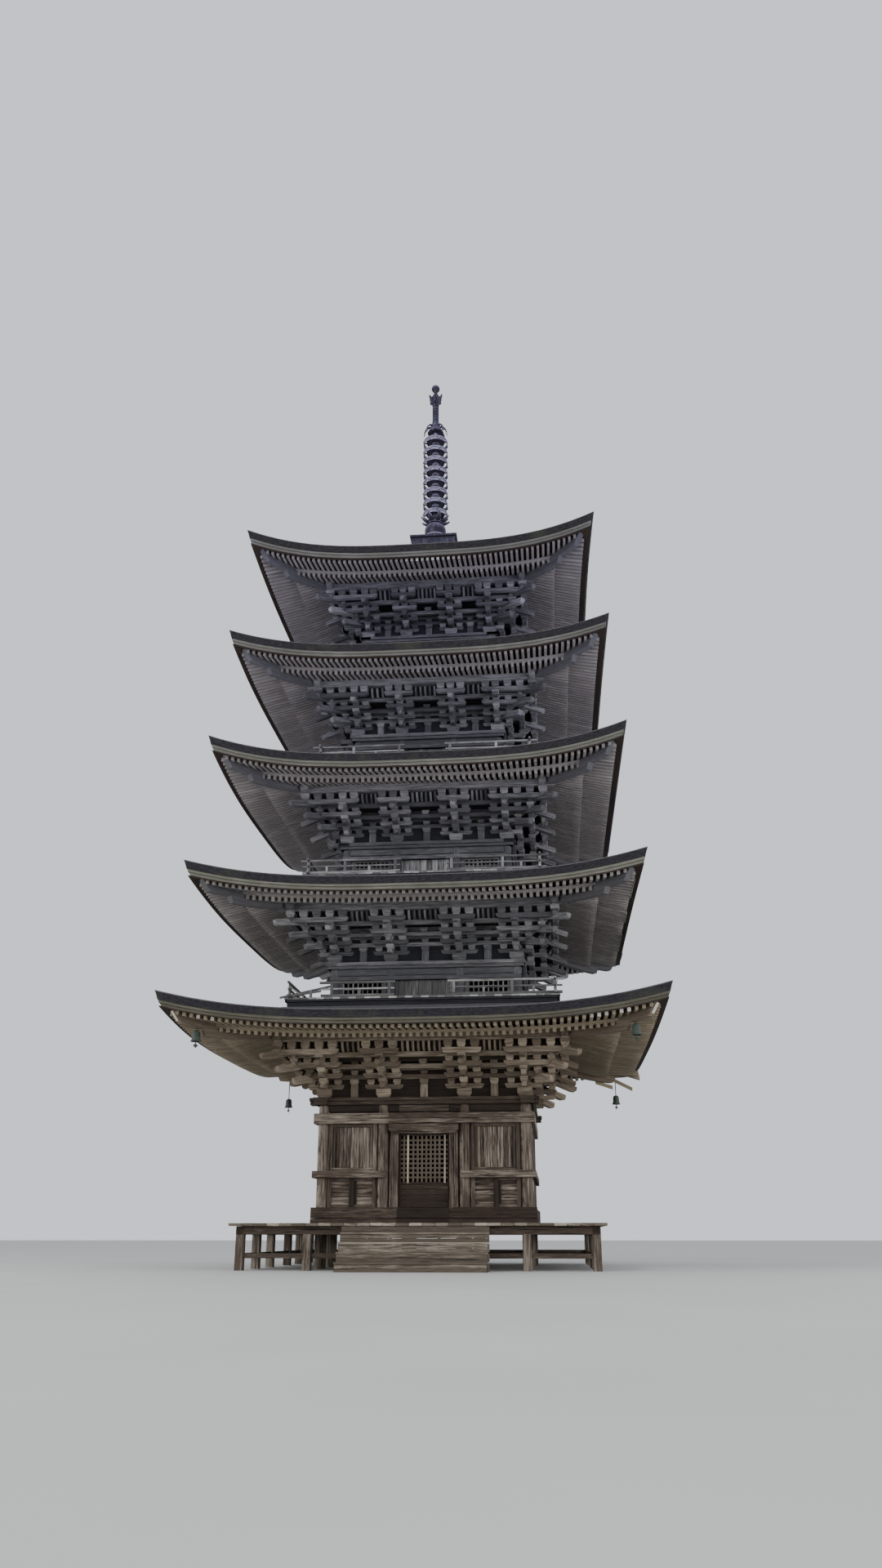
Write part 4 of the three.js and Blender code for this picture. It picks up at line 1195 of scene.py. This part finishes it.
# %% [markdown]
# ## Walls of the ground storey
# The ground storey takes the weather. Heavy rails run round it at the sill, at mid height and under the
# plate, and hold the columns like hoops. Between them are framed panels: upright boards in the upper one,
# lying boards to both sides of a middle post in the lower one. Every board is its own copied bar with its
# own width, so that the joints are real gaps. Their faces stand a little unevenly, as old boards do. Lying
# boards line the inside, so that no light comes through the joints.

# %% Rails of the ground storey
SILL_TOP, MIDDLE_RAIL, TOP_RAIL = 1.43, (2.13, 2.30), (3.45, 3.71)
RAIL_FACE = 2.84
COLUMN_FACE = 2.75
WALL_LINE = GROUND.line
LINING_BOARD = 0.265


def ground_rails(x0, x1, middle_end, top_end):
    """Two layers of sill, middle rail and two layers of top rail, from x0; the upper ones may end early."""
    layers = [(x1, 1.055, 1.16, 0.24, 0), (x1, 1.165, SILL_TOP, 0.23, 0.02),
              (middle_end, *MIDDLE_RAIL, 0.14, 0),
              (top_end, TOP_RAIL[0], TOP_RAIL[0] + 0.12, 0.13, 0),
              (top_end, TOP_RAIL[0] + 0.125, TOP_RAIL[1], 0.14, 0)]
    return [lying(x0, end, inset - RAIL_FACE + depth / 2, low, depth, high - low)
            for end, low, high, depth, inset in layers]


print("layers of rails:", len(ground_rails(-1, 1, 1, 1)))

# %% A framed panel
def panel_between(x0, x1):
    """Framed boarding between two columns: upright boards above, lying ones below."""
    out = WALL_LINE + 0.05
    low, high = MIDDLE_RAIL[1], TOP_RAIL[0]
    bars, boards = [], []
    for x in (x0 + 0.05, x1 - 0.05):
        bars.append(upright(x, -out - 0.015, low, high, 0.1, 0.1))
        bars.append(upright(x, -out - 0.015, SILL_TOP, MIDDLE_RAIL[0], 0.1, 0.1))
    bars += [upright(x, -out, low + 0.07, high - 0.07, 0.055, 0.08) for x in (x0 + 0.14, x1 - 0.14)]
    for foot, height in ((low, 0.08), (high - 0.08, 0.08), (SILL_TOP, 0.07), (MIDDLE_RAIL[0] - 0.07, 0.07)):
        bars.append(lying(x0, x1, -out, foot, 0.09, height))
    x = x0 + 0.165
    while x < x1 - 0.17:
        width = min(dice.uniform(0.075, 0.125), x1 - 0.165 - x)
        face = -out + 0.045 - dice.uniform(0.0, 0.018)
        boards.append(upright(x + width / 2, face, low + 0.06, high - 0.06, width - 0.008, 0.05))
        x += width
    middle = (x0 + x1) / 2
    posts = [upright(middle, -out - 0.02, SILL_TOP, MIDDLE_RAIL[0], 0.13, 0.12),
             upright(middle + 0.1, -out, SILL_TOP, MIDDLE_RAIL[0], 0.05, 0.08)]
    foot = SILL_TOP + 0.06
    while foot < MIDDLE_RAIL[0] - 0.08:
        height = min(dice.uniform(0.085, 0.125), MIDDLE_RAIL[0] - 0.065 - foot)
        for start, end in ((x0 + 0.1, middle - 0.06), (middle + 0.12, x1 - 0.1)):
            tilt = dice.uniform(-0.006, 0.006)
            boards.append(timber((start, -out + 0.03, foot + tilt), (end, -out + 0.03, foot - tilt),
                                 0.05 + dice.uniform(0, 0.03), height - 0.008))
        foot += height
    return bars, boards, posts


print("upright boards are", round(TOP_RAIL[0] - MIDDLE_RAIL[1], 2), "m high")

# %% A wall of the ground storey
def ground_wall(name, x0, x1, columns, panels, rails, extra=()):
    """One wall as it stands on the front: a piece of weathered timber and one of darker timber."""
    bars, boards, dark = list(extra), [], []
    for span in panels:
        frame_bars, panel_boards, posts = panel_between(*span)
        bars += frame_bars
        boards += panel_boards
        dark += posts
    layers = [(0, 3.75, 0.2, 0.17), (0, TOP_RAIL[0], 0.1, 0.3),
              (0.01, 1.06, 0.09, 0.37), (0.01, MIDDLE_RAIL[0], 0.09, 0.17)]
    layers += [(0.1, SILL_TOP - 0.36 + i * LINING_BOARD, 0.03, LINING_BOARD - 0.002) for i in range(10)]
    dark += [lying(x0, x1, inset - WALL_LINE, foot, depth, height) for inset, foot, depth, height in layers]
    thick = 2 * GROUND.radius
    places = [upright(x, -WALL_LINE, 0.0, 3.92, thick, thick) for x in columns]
    weathered = [copies("rails", bar, rails[2:], 0.6, 0.8), copies("bars", bar, bars, 0.35, 0.7),
                 copies("boards", bar, boards, 0.5, 0.8), copies("columns", column, places, 0.5, 0.75)]
    ties = [copies("ties", bar, dark, 0.0, 0.35), copies("sills", bar, rails[:2], 0.5, 0.75)]
    return joined(name + "_boarding", weathered), joined(name + "_boarding_ties", ties)


print("wall helper ready")

# %% The two front walls
DOOR_HALF, DOORWAY_TOP = 0.65, 3.20
end_bay = (GROUND.bay + 0.15, WALL_LINE - 0.15)
for side, name in ((-1, "front_wall_left"), (1, "front_wall_right")):
    ends = sorted((side * (DOOR_HALF + 0.01), side * WALL_LINE))
    bay = sorted(side * x for x in end_bay)
    rails = ground_rails(side * RAIL_FACE, side * DOOR_HALF, side * (GROUND.bay - 0.1), side * 0.9)
    jambs = [upright(side * (DOOR_HALF + 0.06), -2.62, SILL_TOP, DOORWAY_TOP, 0.12, 0.16),
             upright(side * (DOOR_HALF + 0.175), -2.64, SILL_TOP, TOP_RAIL[0], 0.1, 0.12)]
    pair = ground_wall(name, *ends, (side * WALL_LINE, side * GROUND.bay), [bay], rails, jambs)
    for piece, wood in zip(pair, (ground_wood, dark_wood)):
        dress(piece, wood, "ground_wood", name)

# %% The other three walls
three_bays = [(-end_bay[1], -end_bay[0]), (-GROUND.bay + 0.15, GROUND.bay - 0.15), end_bay]
inner_columns = (-GROUND.bay, GROUND.bay)
for name, angle, reach, posts in (("back_wall", 180, RAIL_FACE, (-WALL_LINE, WALL_LINE) + inner_columns),
                                  ("left_wall", 270, COLUMN_FACE - 0.01, inner_columns),
                                  ("right_wall", 90, COLUMN_FACE - 0.01, inner_columns)):
    rails = ground_rails(-reach, reach, reach, reach)
    pair = ground_wall(name, -WALL_LINE, WALL_LINE, posts, three_bays, rails)
    for piece, wood in zip(pair, (ground_wood, dark_wood)):
        piece.data.transform(about_axis(angle))
        dress(piece, wood, "ground_wood", name)

# %% [markdown]
# ## Plate, room floor, sill and lintel
# The plate is a broad dark beam in two layers on top of the columns. The doorway has a thick sill and a
# lintel whose lower corners are cut off aslant; a bevel on two edges of its block does that.

# %% Plate, floor and doorway frame
def dress_bars(name, bars, tones, wood, node, slot="ground_wood"):
    """One piece of copied bars, from lists of lying's or timber's places."""
    return dress(copies(name, bar, bars, *tones), wood, slot, node)


plate_bars = [lying(-2.95, 2.95, -2.66, 3.92, 0.34, 0.09), lying(-2.97, 2.97, -2.665, 4.012, 0.39, 0.088)]
dress(on_four_sides(copies("plate_1_layers", bar, plate_bars, 0.6, 0.8)), dark_wood, "ground_wood", "plate_1")

floor_bars = [lying(-2.44, 2.44, i * 0.24, 1.07, 0.236, 0.04) for i in range(-10, 11)]
floor_bars += [timber((x, -2.44, 0.99), (x, 2.44, 0.99), 0.12, 0.08) for x in (-2.2, -1.1, 0, 1.1, 2.2)]
dress_bars("room_floor_boards", floor_bars, (0.2, 0.6), dark_wood, "room_floor")

SILL_HALF = 0.648
sill_bars = [lying(-SILL_HALF, SILL_HALF, -2.72, 1.055, 0.24, 0.105),
             lying(-SILL_HALF, SILL_HALF, -2.645, 1.165, 0.37, 0.262)]
dress_bars("door_sill_beams", sill_bars, (0.1, 0.4), dark_wood, "door_sill")

lintel = start_block("lintel", centre=(0, -2.79, 3.318), size=(1.79, 0.11, 0.236))
choose(lintel, "EDGE", lambda middle, way: abs(middle.x) > 0.89 and middle.z < 3.21 and abs(way.y) > 0.9)
bevel(0.1, 1)
lay_grain(close_edit(lintel), tone=0.55)
head_bars = [lying(-half, half, y, foot, depth, height) for half, y, foot, depth, height in (
    (0.9, -2.775, TOP_RAIL[0], 0.13, 0.12), (0.9, -2.77, TOP_RAIL[0] + 0.125, 0.14, 0.135),
    (SILL_HALF, -2.6, DOORWAY_TOP + 0.001, 0.19, 0.1), (SILL_HALF, -2.58, 3.3, 0.1, 0.45),
    (SILL_HALF, -2.6, 3.75, 0.2, 0.17))]
dress(joined("doorway_lintel", [lintel, copies("head", bar, head_bars, 0.4, 0.7)]), ground_wood,
      "ground_wood", "door_head")

# %% [markdown]
# ## The lattice door
# The leaf has boards below and a lattice above: thin bars halved into each other leave rows of small square
# holes, two of them beside the left pale mullion, eight in the middle and one at the right. It turns on
# two wooden pivots, so it rides on the body door. The mullions are fresher wood than the rest.

# %% Door leaf
LEAF_X, LEAF_Y, LEAF_Z = (-0.628, 0.642), -2.61, (1.438, 3.192)
LATTICE_FOOT, LATTICE_ROWS, MULLIONS = 2.03, 10, (-0.41, 0.53)
(x0, x1), (foot, head) = LEAF_X, LEAF_Z


def across_leaf(low, height, depth, back=0.0):
    return lying(x0 + 0.03, x1 - 0.03, LEAF_Y + back, low, depth, height)


panel_foot, board = foot + 0.05, (LATTICE_FOOT - 0.1 - foot) / 4
leaf_bars = [upright(x, LEAF_Y, foot, head, 0.04, 0.058) for x in (x0 + 0.02, x1 - 0.02)]
leaf_bars += [across_leaf(low, height, 0.055)
              for low, height in ((foot, 0.05), (LATTICE_FOOT - 0.05, 0.05), (head - 0.04, 0.04))]
leaf_bars += [across_leaf(panel_foot + i * board, board - 0.004, 0.035, 0.008) for i in range(4)]
lattice = []
for start, end, holes in ((x0 + 0.04, MULLIONS[0] - 0.025, 2), (MULLIONS[0] + 0.025, MULLIONS[1] - 0.025, 8),
                          (MULLIONS[1] + 0.025, x1 - 0.04, 1)):
    lattice += [upright(start + i * (end - start) / holes, LEAF_Y, LATTICE_FOOT, head - 0.04, 0.05, 0.034)
                for i in range(1, holes)]
row = (head - 0.04 - LATTICE_FOOT) / LATTICE_ROWS
lattice += [across_leaf(LATTICE_FOOT + i * row - 0.022, 0.044, 0.032, 0.003) for i in range(1, LATTICE_ROWS)]
mullions = [upright(x, LEAF_Y - 0.004, LATTICE_FOOT - 0.02, head - 0.02, 0.048, 0.05) for x in MULLIONS]
pivots = [upright(-0.606, LEAF_Y, low, low + 0.045, 0.038, 0.038) for low in (foot - 0.04, head - 0.004)]
leaf = joined("lattice_leaf", [copies("leaf_bars", bar, leaf_bars, 0.2, 0.6),
                               copies("pivots", column, pivots)])
lattice = copies("lattice_bars", bar, lattice, 0.35, 0.5)
mullions = copies("lattice_mullions", bar, mullions, 0.9, 1.0)
for piece, wood in ((leaf, dark_wood), (lattice, lattice_wood), (mullions, plank_wood)):
    dress(piece, wood, "ground_wood", "door_leaf", body="door")

# %% [markdown]
# ## Veranda and steps
# A boarded veranda on posts runs round the tower. Its boards run outwards from the walls and meet on the
# diagonals; their ends are the pale, uneven line over the dark edge beam. A rail ties the posts halfway
# down. Broad steps of lying planks lead up to it at the front.

# %% Veranda
DECK, VERANDA_LINE = GROUND.deck, 4.22
boards = []
for x, root, end, width in outward_boards(DECK, COLUMN_FACE + 0.006, 0.3, 0.02):
    foot = 0.982 + dice.uniform(0, 0.004)
    boards.append(timber((x, -root, foot), (x, -end, foot), width - 0.008, 0.063))
boards = on_four_sides(copies("veranda_boards", bar, boards, 0.3, 1.0))
dress(boards, plank_wood, "pale_wood", "veranda_floor")

frame_bars = [lying(-4.32, 4.32, -VERANDA_LINE, 0.79, 0.2, 0.185),
              lying(-4.2, 4.2, -VERANDA_LINE, 0.27, 0.08, 0.11)]
frame_bars += [upright(x, -VERANDA_LINE, 0.0, 0.8, 0.2, 0.2)
               for x in (-VERANDA_LINE, -WALL_LINE, -GROUND.bay, GROUND.bay, WALL_LINE)]
frame_bars += [timber((i * 0.85, -2.9, 0.86), (i * 0.85, -4.15, 0.86), 0.1, 0.115) for i in range(-3, 4)]
frame = on_four_sides(copies("veranda_frame_timbers", bar, frame_bars, 0.3, 0.8))
dress(frame, ground_wood, "ground_wood", "veranda_frame")

# %% Steps
STAIR_HALF, TREAD, RISE, PLANK = 1.74, 0.25, 0.21, 0.045
step_fronts = [(i * RISE, -(DECK + (5 - i) * TREAD)) for i in range(1, 5)]
riser = (RISE - PLANK) / 2
stair_bars = []
for top, front in step_fronts:
    stair_bars += [lying(-STAIR_HALF, STAIR_HALF, front + (k + 0.5) * TREAD / 2, top - PLANK,
                         TREAD / 2 - 0.006, PLANK) for k in range(2)]
    stair_bars += [lying(-STAIR_HALF + 0.02, STAIR_HALF - 0.02, front + 0.03, top - RISE + k * riser,
                         0.03, riser - 0.004) for k in range(2)]
stair_bars.append(lying(-STAIR_HALF, STAIR_HALF, -DECK - 0.03, 0.8, 0.035, 0.17))
for side in (-1.715, -0.572, 0.572, 1.715):
    for top, front in step_fronts:
        start, end = ((side, y, top - RISE) for y in (front + 0.05, -DECK - 0.003))
        stair_bars.append(timber(start, end, 0.048, RISE - 0.046))
dress_bars("front_stair_planks", stair_bars, (0.1, 0.8), plank_wood, "front_stair", "pale_wood")

# %% [markdown]
# ## Old bronze
# The spire and the wind bells are cast bronze gone dark, with a bluish bloom. So the metal is dark and fairly
# smooth, and a pale, rough bloom lies on it in patches and streaks. On faces that look up the same pale,
# bluish colour is painted sky light. The wind bells are greener and duller.

# %% Bronze finishes
def bronze_finish(name, dark, bloom_and_sky_tint, amount):
    bronze = Finish(name, roughness=0.5, metallic=0.55)
    place = bronze.add("TexCoord", output=3)
    facing = bronze.add("NewGeometry", output=1)
    upward = bronze.add("SeparateXYZ", output=2, Vector=facing)
    patches = bronze.noise(place, 5, 5, 0.65)
    streaks = bronze.noise(bronze.stretched(place, (14, 14, 1.5)), 1, 4, 0.6)
    # Faces that look up get the pale, bluish colour as painted sky light; patches and streaks are bloom.
    bloom_and_sky_light = (patches * 0.35 + streaks * 0.35 + upward * 0.4 + 0.3).between(0.62 - amount, 0.86 - amount)
    bronze.drive("Base Color", bronze.mix(bloom_and_sky_light, tint(*dark), tint(*bloom_and_sky_tint)))
    bronze.drive("Roughness", bloom_and_sky_light * 0.3 + 0.42)
    bronze.drive("Metallic", 0.6 - bloom_and_sky_light * 0.5)
    bronze.bump(patches * 0.6 + streaks * 0.4, 0.3, 0.01)
    return bronze.material


spire_bronze = bronze_finish("spire_bronze", (58, 52, 70), (156, 155, 182), 0.12)
dark_bronze = bronze_finish("dark_bronze", (40, 37, 54), (92, 89, 116), 0.02)
bell_bronze = bronze_finish("bell_bronze", (24, 26, 22), (58, 68, 62), 0.1)
print("bronze finishes ready")

# %% [markdown]
# ## Turned shapes
# Bells, rings and bowls are turned shapes. A single vertex is extruded from point to point along half of the
# section, and the spin operator carries that line once round the axis. The last copy falls on the first,
# so doubles are merged and the normals recalculated.

# %% Spinning a section
def drawn_line(name, points):
    """A line through (x, z) points in the XZ plane, left in edit mode with all of it selected."""
    bpy.ops.object.select_all(action="DESELECT")
    bpy.ops.mesh.primitive_plane_add(size=0.1)
    piece = bpy.context.object
    piece.name = name
    bpy.context.tool_settings.mesh_select_mode = (True, False, False)
    bpy.ops.object.mode_set(mode="EDIT")
    bpy.ops.mesh.select_all(action="SELECT")
    bpy.ops.mesh.merge(type="CENTER")
    bpy.ops.transform.translate(value=(points[0][0], 0, points[0][1]))
    for (x0, z0), (x1, z1) in zip(points, points[1:]):
        bpy.ops.mesh.extrude_region_move(TRANSFORM_OT_translate={"value": (x1 - x0, 0, z1 - z0)})
    bpy.ops.mesh.select_all(action="SELECT")
    return piece


def turned(name, outline, steps=24):
    """A closed section of (radius, height) points, carried round the Z axis."""
    piece = drawn_line(name, outline)
    bpy.ops.mesh.spin(steps=steps, angle=2 * math.pi, center=(0, 0, 0), axis=(0, 0, 1))
    bpy.ops.mesh.select_all(action="SELECT")
    bpy.ops.mesh.remove_doubles(threshold=MERGE_REACH)
    bpy.ops.mesh.normals_make_consistent(inside=False)
    return close_edit(piece)


def softened(piece, angle=40):
    select_only(piece)
    bpy.ops.object.shade_smooth_by_angle(angle=math.radians(angle))
    return piece


def thickened(piece, thickness):
    shell = piece.modifiers.new("thickness", "SOLIDIFY")
    shell.thickness, shell.offset = thickness, 0
    bpy.ops.object.modifier_apply(modifier=shell.name)
    return piece


def moved_to(unit, places):
    """Copies of a finished unit at the given matrices. The unit itself goes."""
    made = [moved_copy(unit, place) for place in places]
    bpy.data.objects.remove(unit)
    return made


EIGHTHS = [about_axis(45 * i) for i in range(8)]
BETWEEN = [about_axis(22.5 + 45 * i) for i in range(8)]
print("turning helpers ready")

# %% [markdown]
# ## Foot of the spire
# The spire stands on a square box with a rim, which covers the joint where the four roofs meet. The rim is
# a broad, thin block with its lower edges bevelled. Each side of the box gets a sunken panel by insetting
# its face and moving it in.
# On the box stand an upturned bowl with a flange round its foot and a lotus of eight petals.

# %% Box, bowl and lotus
box = start_block("spire_box", centre=(0, 0, 22.17), size=(1.46, 1.46, 0.44))
choose(box, "FACE", lambda middle, way: abs(way.z) < 0.1)
bpy.ops.mesh.inset(thickness=0.07, depth=-0.02, use_individual=True)
close_edit(box)
rim = start_block("spire_rim", centre=(0, 0, 22.405), size=(1.56, 1.56, 0.085))
choose(rim, "EDGE", lambda middle, way: middle.z < 22.37)
bevel(0.035, 2)
close_edit(rim)
dress(joined("spire_box", [box, rim]), dark_bronze, "bronze", "spire_base")

bowl = turned("bowl", [(0, 22.452), (0.33, 22.452), (0.33, 22.81), (0.34, 22.88), (0.36, 22.97),
                       (0.362, 23.06), (0.345, 23.14), (0.3, 23.22), (0.24, 23.275), (0.18, 23.298),
                       (0, 23.298)], 32)
flange = turned("flange", [(0.325, 22.72), (0.365, 22.735), (0.378, 22.765), (0.365, 22.8),
                           (0.325, 22.82), (0.325, 22.72)], 32)
dress(softened(bowl), dark_bronze, "bronze", "spire_bowl")
dress(softened(flange), spire_bronze, "bronze", "spire_bowl")

heart = turned("lotus_heart", [(0, 23.302), (0.2, 23.302), (0.26, 23.32), (0.25, 23.35), (0.15, 23.385),
                               (0.12, 23.44), (0.138, 23.498), (0, 23.498)], 24)
BOWL_TOP = 23.3
PETAL_ROWS = [(0.2, 0.03, 0.06), (0.27, 0.04, 0.09), (0.33, 0.06, 0.1), (0.39, 0.095, 0.09),
              (0.44, 0.135, 0.07), (0.48, 0.18, 0.045), (0.52, 0.225, 0.01)]
bpy.ops.object.select_all(action="DESELECT")
bpy.ops.mesh.primitive_grid_add(x_subdivisions=6, y_subdivisions=4, size=1)
petal = bpy.context.object
for vertex in petal.data.vertices:
    reach, rise, half = PETAL_ROWS[round((vertex.co.x + 0.5) * 6)]
    side = vertex.co.y * 2
    vertex.co = (reach - 0.05 * side * side, side * half, BOWL_TOP + rise + 0.02 * side * side)
select_only(petal)
bpy.ops.object.mode_set(mode="EDIT")
bpy.ops.mesh.select_all(action="SELECT")
bpy.ops.mesh.normals_make_consistent(inside=False)
petals = moved_to(thickened(close_edit(petal), 0.022), BETWEEN)
dress(softened(joined("lotus_flower", petals + [heart]), 60), spire_bronze, "bronze", "lotus")

# %% [markdown]
# ## Mast with rings
# Each ring is a broad, thin hoop with two raised lines. A round plate on a hub closes its middle, and eight
# spokes cross the open gap between the plate and the hoop. One ring is made and copied eight times at one
# pitch. Little bells hang outside the hoops.

# %% Rings and their little bells
RING_FIRST, RING_PITCH, RINGS = 23.645, 0.427, 8
for unit in (bar, column):
    unit.data.uv_layers.remove(unit.data.uv_layers["grain"])
    unit.data.attributes.remove(unit.data.attributes["tone"])

hoop = turned("hoop", [(0.4, -0.082), (0.42, -0.08), (0.42, -0.045), (0.406, -0.038), (0.406, 0.03),
                       (0.42, 0.038), (0.42, 0.085), (0.4, 0.085), (0.392, 0.0), (0.4, -0.082)], 40)
plate = turned("ring_plate", [(0.11, 0.03), (0.22, 0.034), (0.315, 0.05), (0.315, 0.075), (0.22, 0.07),
                              (0.11, 0.066), (0.11, 0.03)], 32)
hub = turned("hub", [(0.085, -0.09), (0.13, -0.085), (0.135, -0.02), (0.105, 0.02), (0.1, 0.085),
                     (0.085, 0.09), (0.085, -0.09)], 20)
spoke = timber((0.28, 0, 0.04), (0.4, 0, 0.04), 0.05, 0.03)
spokes = [moved_copy(bar, turn @ spoke) for turn in EIGHTHS]
little = turned("little_bell", [(0, 0), (0.012, 0), (0.02, -0.015), (0.023, -0.045), (0.032, -0.07),
                                (0.02, -0.065), (0, -0.055)], 10)
hangers = moved_to(little, [turn @ Matrix.Translation((0.428, 0, 0.03)) for turn in BETWEEN])
ring = softened(joined("ring", [hoop, plate, hub] + spokes + hangers))
rings = moved_to(ring, [Matrix.Translation((0, 0, RING_FIRST + i * RING_PITCH)) for i in range(RINGS)])
outline = [(0, 23.501), (0.09, 23.501)]
for i in range(RINGS - 1):
    z = RING_FIRST + (i + 0.5) * RING_PITCH
    outline += [(0.088, z - 0.05), (0.105, z - 0.04), (0.105, z + 0.04), (0.088, z + 0.05)]
outline += [(0.088, 27.46), (0, 27.46)]
mast = softened(turned("mast", outline, 20))
dress(joined("mast_and_rings", rings + [mast]), spire_bronze, "bronze", "ring_mast")

# %% [markdown]
# ## Canopy, shaft, flame and jewel
# Over the rings a small canopy spreads eight curved arms. The shaft above it is fluted and bound with
# collars. The flame is an outline drawn with short edges, filled and given thickness, and set crosswise
# twice. The jewel on the tip is a ball that runs to a point.

# %% Top of the spire
def plate_from(name, outline, thickness):
    """A flat plate in the XZ plane from its outline points, thickened both ways."""
    piece = drawn_line(name, outline + outline[:1])
    bpy.ops.mesh.remove_doubles(threshold=MERGE_REACH)
    bpy.ops.mesh.edge_face_add()
    bpy.ops.mesh.normals_make_consistent(inside=False)
    return thickened(close_edit(piece), thickness)


cap = turned("cap", [(0.095, 27.06), (0.27, 27.06), (0.285, 27.1), (0.25, 27.16), (0.2, 27.27),
                     (0.155, 27.34), (0.15, 27.4), (0.13, 27.455), (0.095, 27.455), (0.095, 27.06)], 24)
curl = plate_from("curl", [(0.12, 27.38), (0.2, 27.39), (0.29, 27.35), (0.36, 27.26), (0.4, 27.14),
                           (0.41, 27.0), (0.385, 27.0), (0.372, 27.13), (0.335, 27.23), (0.27, 27.31),
                           (0.2, 27.345), (0.14, 27.32)], 0.06)
dress(softened(joined("canopy", [cap] + moved_to(curl, EIGHTHS))), dark_bronze, "bronze", "spire_canopy")

bands = [(0, 27.461), (0.125, 27.465), (0.125, 27.546)]
for i in range(6):
    low = 27.55 + i * 0.12
    bands += [(0.096, low), (0.096, low + 0.08), (0.114, low + 0.085), (0.114, low + 0.115)]
bands += [(0.096, 28.27), (0.12, 28.275), (0.12, 28.326)]
shaft = turned("shaft", bands + [(0, 28.33)], 24)
ribs = [moved_copy(column, upright(0.096 * math.cos(a), 0.096 * math.sin(a), 27.55, 28.27, 0.022, 0.022))
        for a in (math.radians(45 * i + 22.5) for i in range(8))]
dress(softened(joined("fluted_shaft", [shaft] + ribs)), dark_bronze, "bronze", "spire_shaft")

half_flame = [(0.06, 28.335), (0.16, 28.35), (0.205, 28.39), (0.19, 28.46), (0.215, 28.54), (0.21, 28.62),
              (0.235, 28.7), (0.24, 28.77), (0.18, 28.775), (0.175, 28.72), (0.135, 28.69), (0.1, 28.72),
              (0.1, 28.77), (0.05, 28.775)]
leaf_plate = plate_from("flame_plate", half_flame + [(-x, z) for x, z in reversed(half_flame)], 0.05)
crossed = moved_copy(leaf_plate, about_axis(90))
knot = turned("flame_knot", [(0, 28.335), (0.06, 28.34), (0.1, 28.42), (0.08, 28.5), (0.105, 28.58),
                             (0.07, 28.68), (0.06, 28.78), (0, 28.78)], 20)
dress(softened(joined("flame_leaves", [leaf_plate, crossed, knot])), dark_bronze, "bronze", "flame")

ball = turned("ball", [(0, 28.781), (0.07, 28.785), (0.06, 28.83), (0.075, 28.9), (0.12, 28.94),
                       (0.145, 29.0), (0.145, 29.06), (0.12, 29.12), (0.07, 29.16), (0.03, 29.175),
                       (0, 29.2)], 24)
dress(softened(ball, 60), dark_bronze, "bronze", "jewel")

# %% [markdown]
# ## Wind bells
# A bronze bell hangs by a link under each corner of the lowest roof, with a flat clapper plate below it that
# catches the wind. It is one turned shell with a flared lip, copied four times. The two at the back hang on
# longer rods.

# %% Wind bells at the corners
BELL_IN, BELL_DROP, LONGER_ROD = 0.86, 0.85, 0.5
bell = turned("bell_shell", [(0, 0), (0.045, -0.002), (0.08, -0.025), (0.097, -0.07), (0.1, -0.17),
                             (0.112, -0.235), (0.14, -0.275), (0.12, -0.275), (0.1, -0.235),
                             (0.086, -0.17), (0.082, -0.07), (0, -0.03)], 20)
link = turned("bell_link", [(0, 0.22), (0.014, 0.22), (0.014, -0.34), (0, -0.34)], 8)
catcher = plate_from("catcher", [(-0.02, -0.33), (-0.075, -0.38), (-0.03, -0.4), (0, -0.44), (0.03, -0.4),
                                 (0.075, -0.38), (0.02, -0.33)], 0.008)
bell = softened(joined("wind_bell", [bell, link, catcher]))
rod = turned("bell_rod", [(0, 0.2), (0.014, 0.2), (0.014, 0.74), (0, 0.74)], 8)
places = []
for quarter in range(4):
    drop = BELL_DROP + (LONGER_ROD if quarter < 2 else 0)
    place = Matrix.Translation(((GROUND.tip - BELL_IN) * math.sqrt(2), 0, GROUND.tip_edge - drop))
    places.append(about_axis(45 + 90 * quarter) @ place)
bells = moved_to(bell, places) + moved_to(rod, places[:2])
dress(joined("wind_bells", bells), bell_bronze, "bronze")

# %% Last step
for unit in (bar, block, arm, nose, rib, column):
    bpy.data.objects.remove(unit)
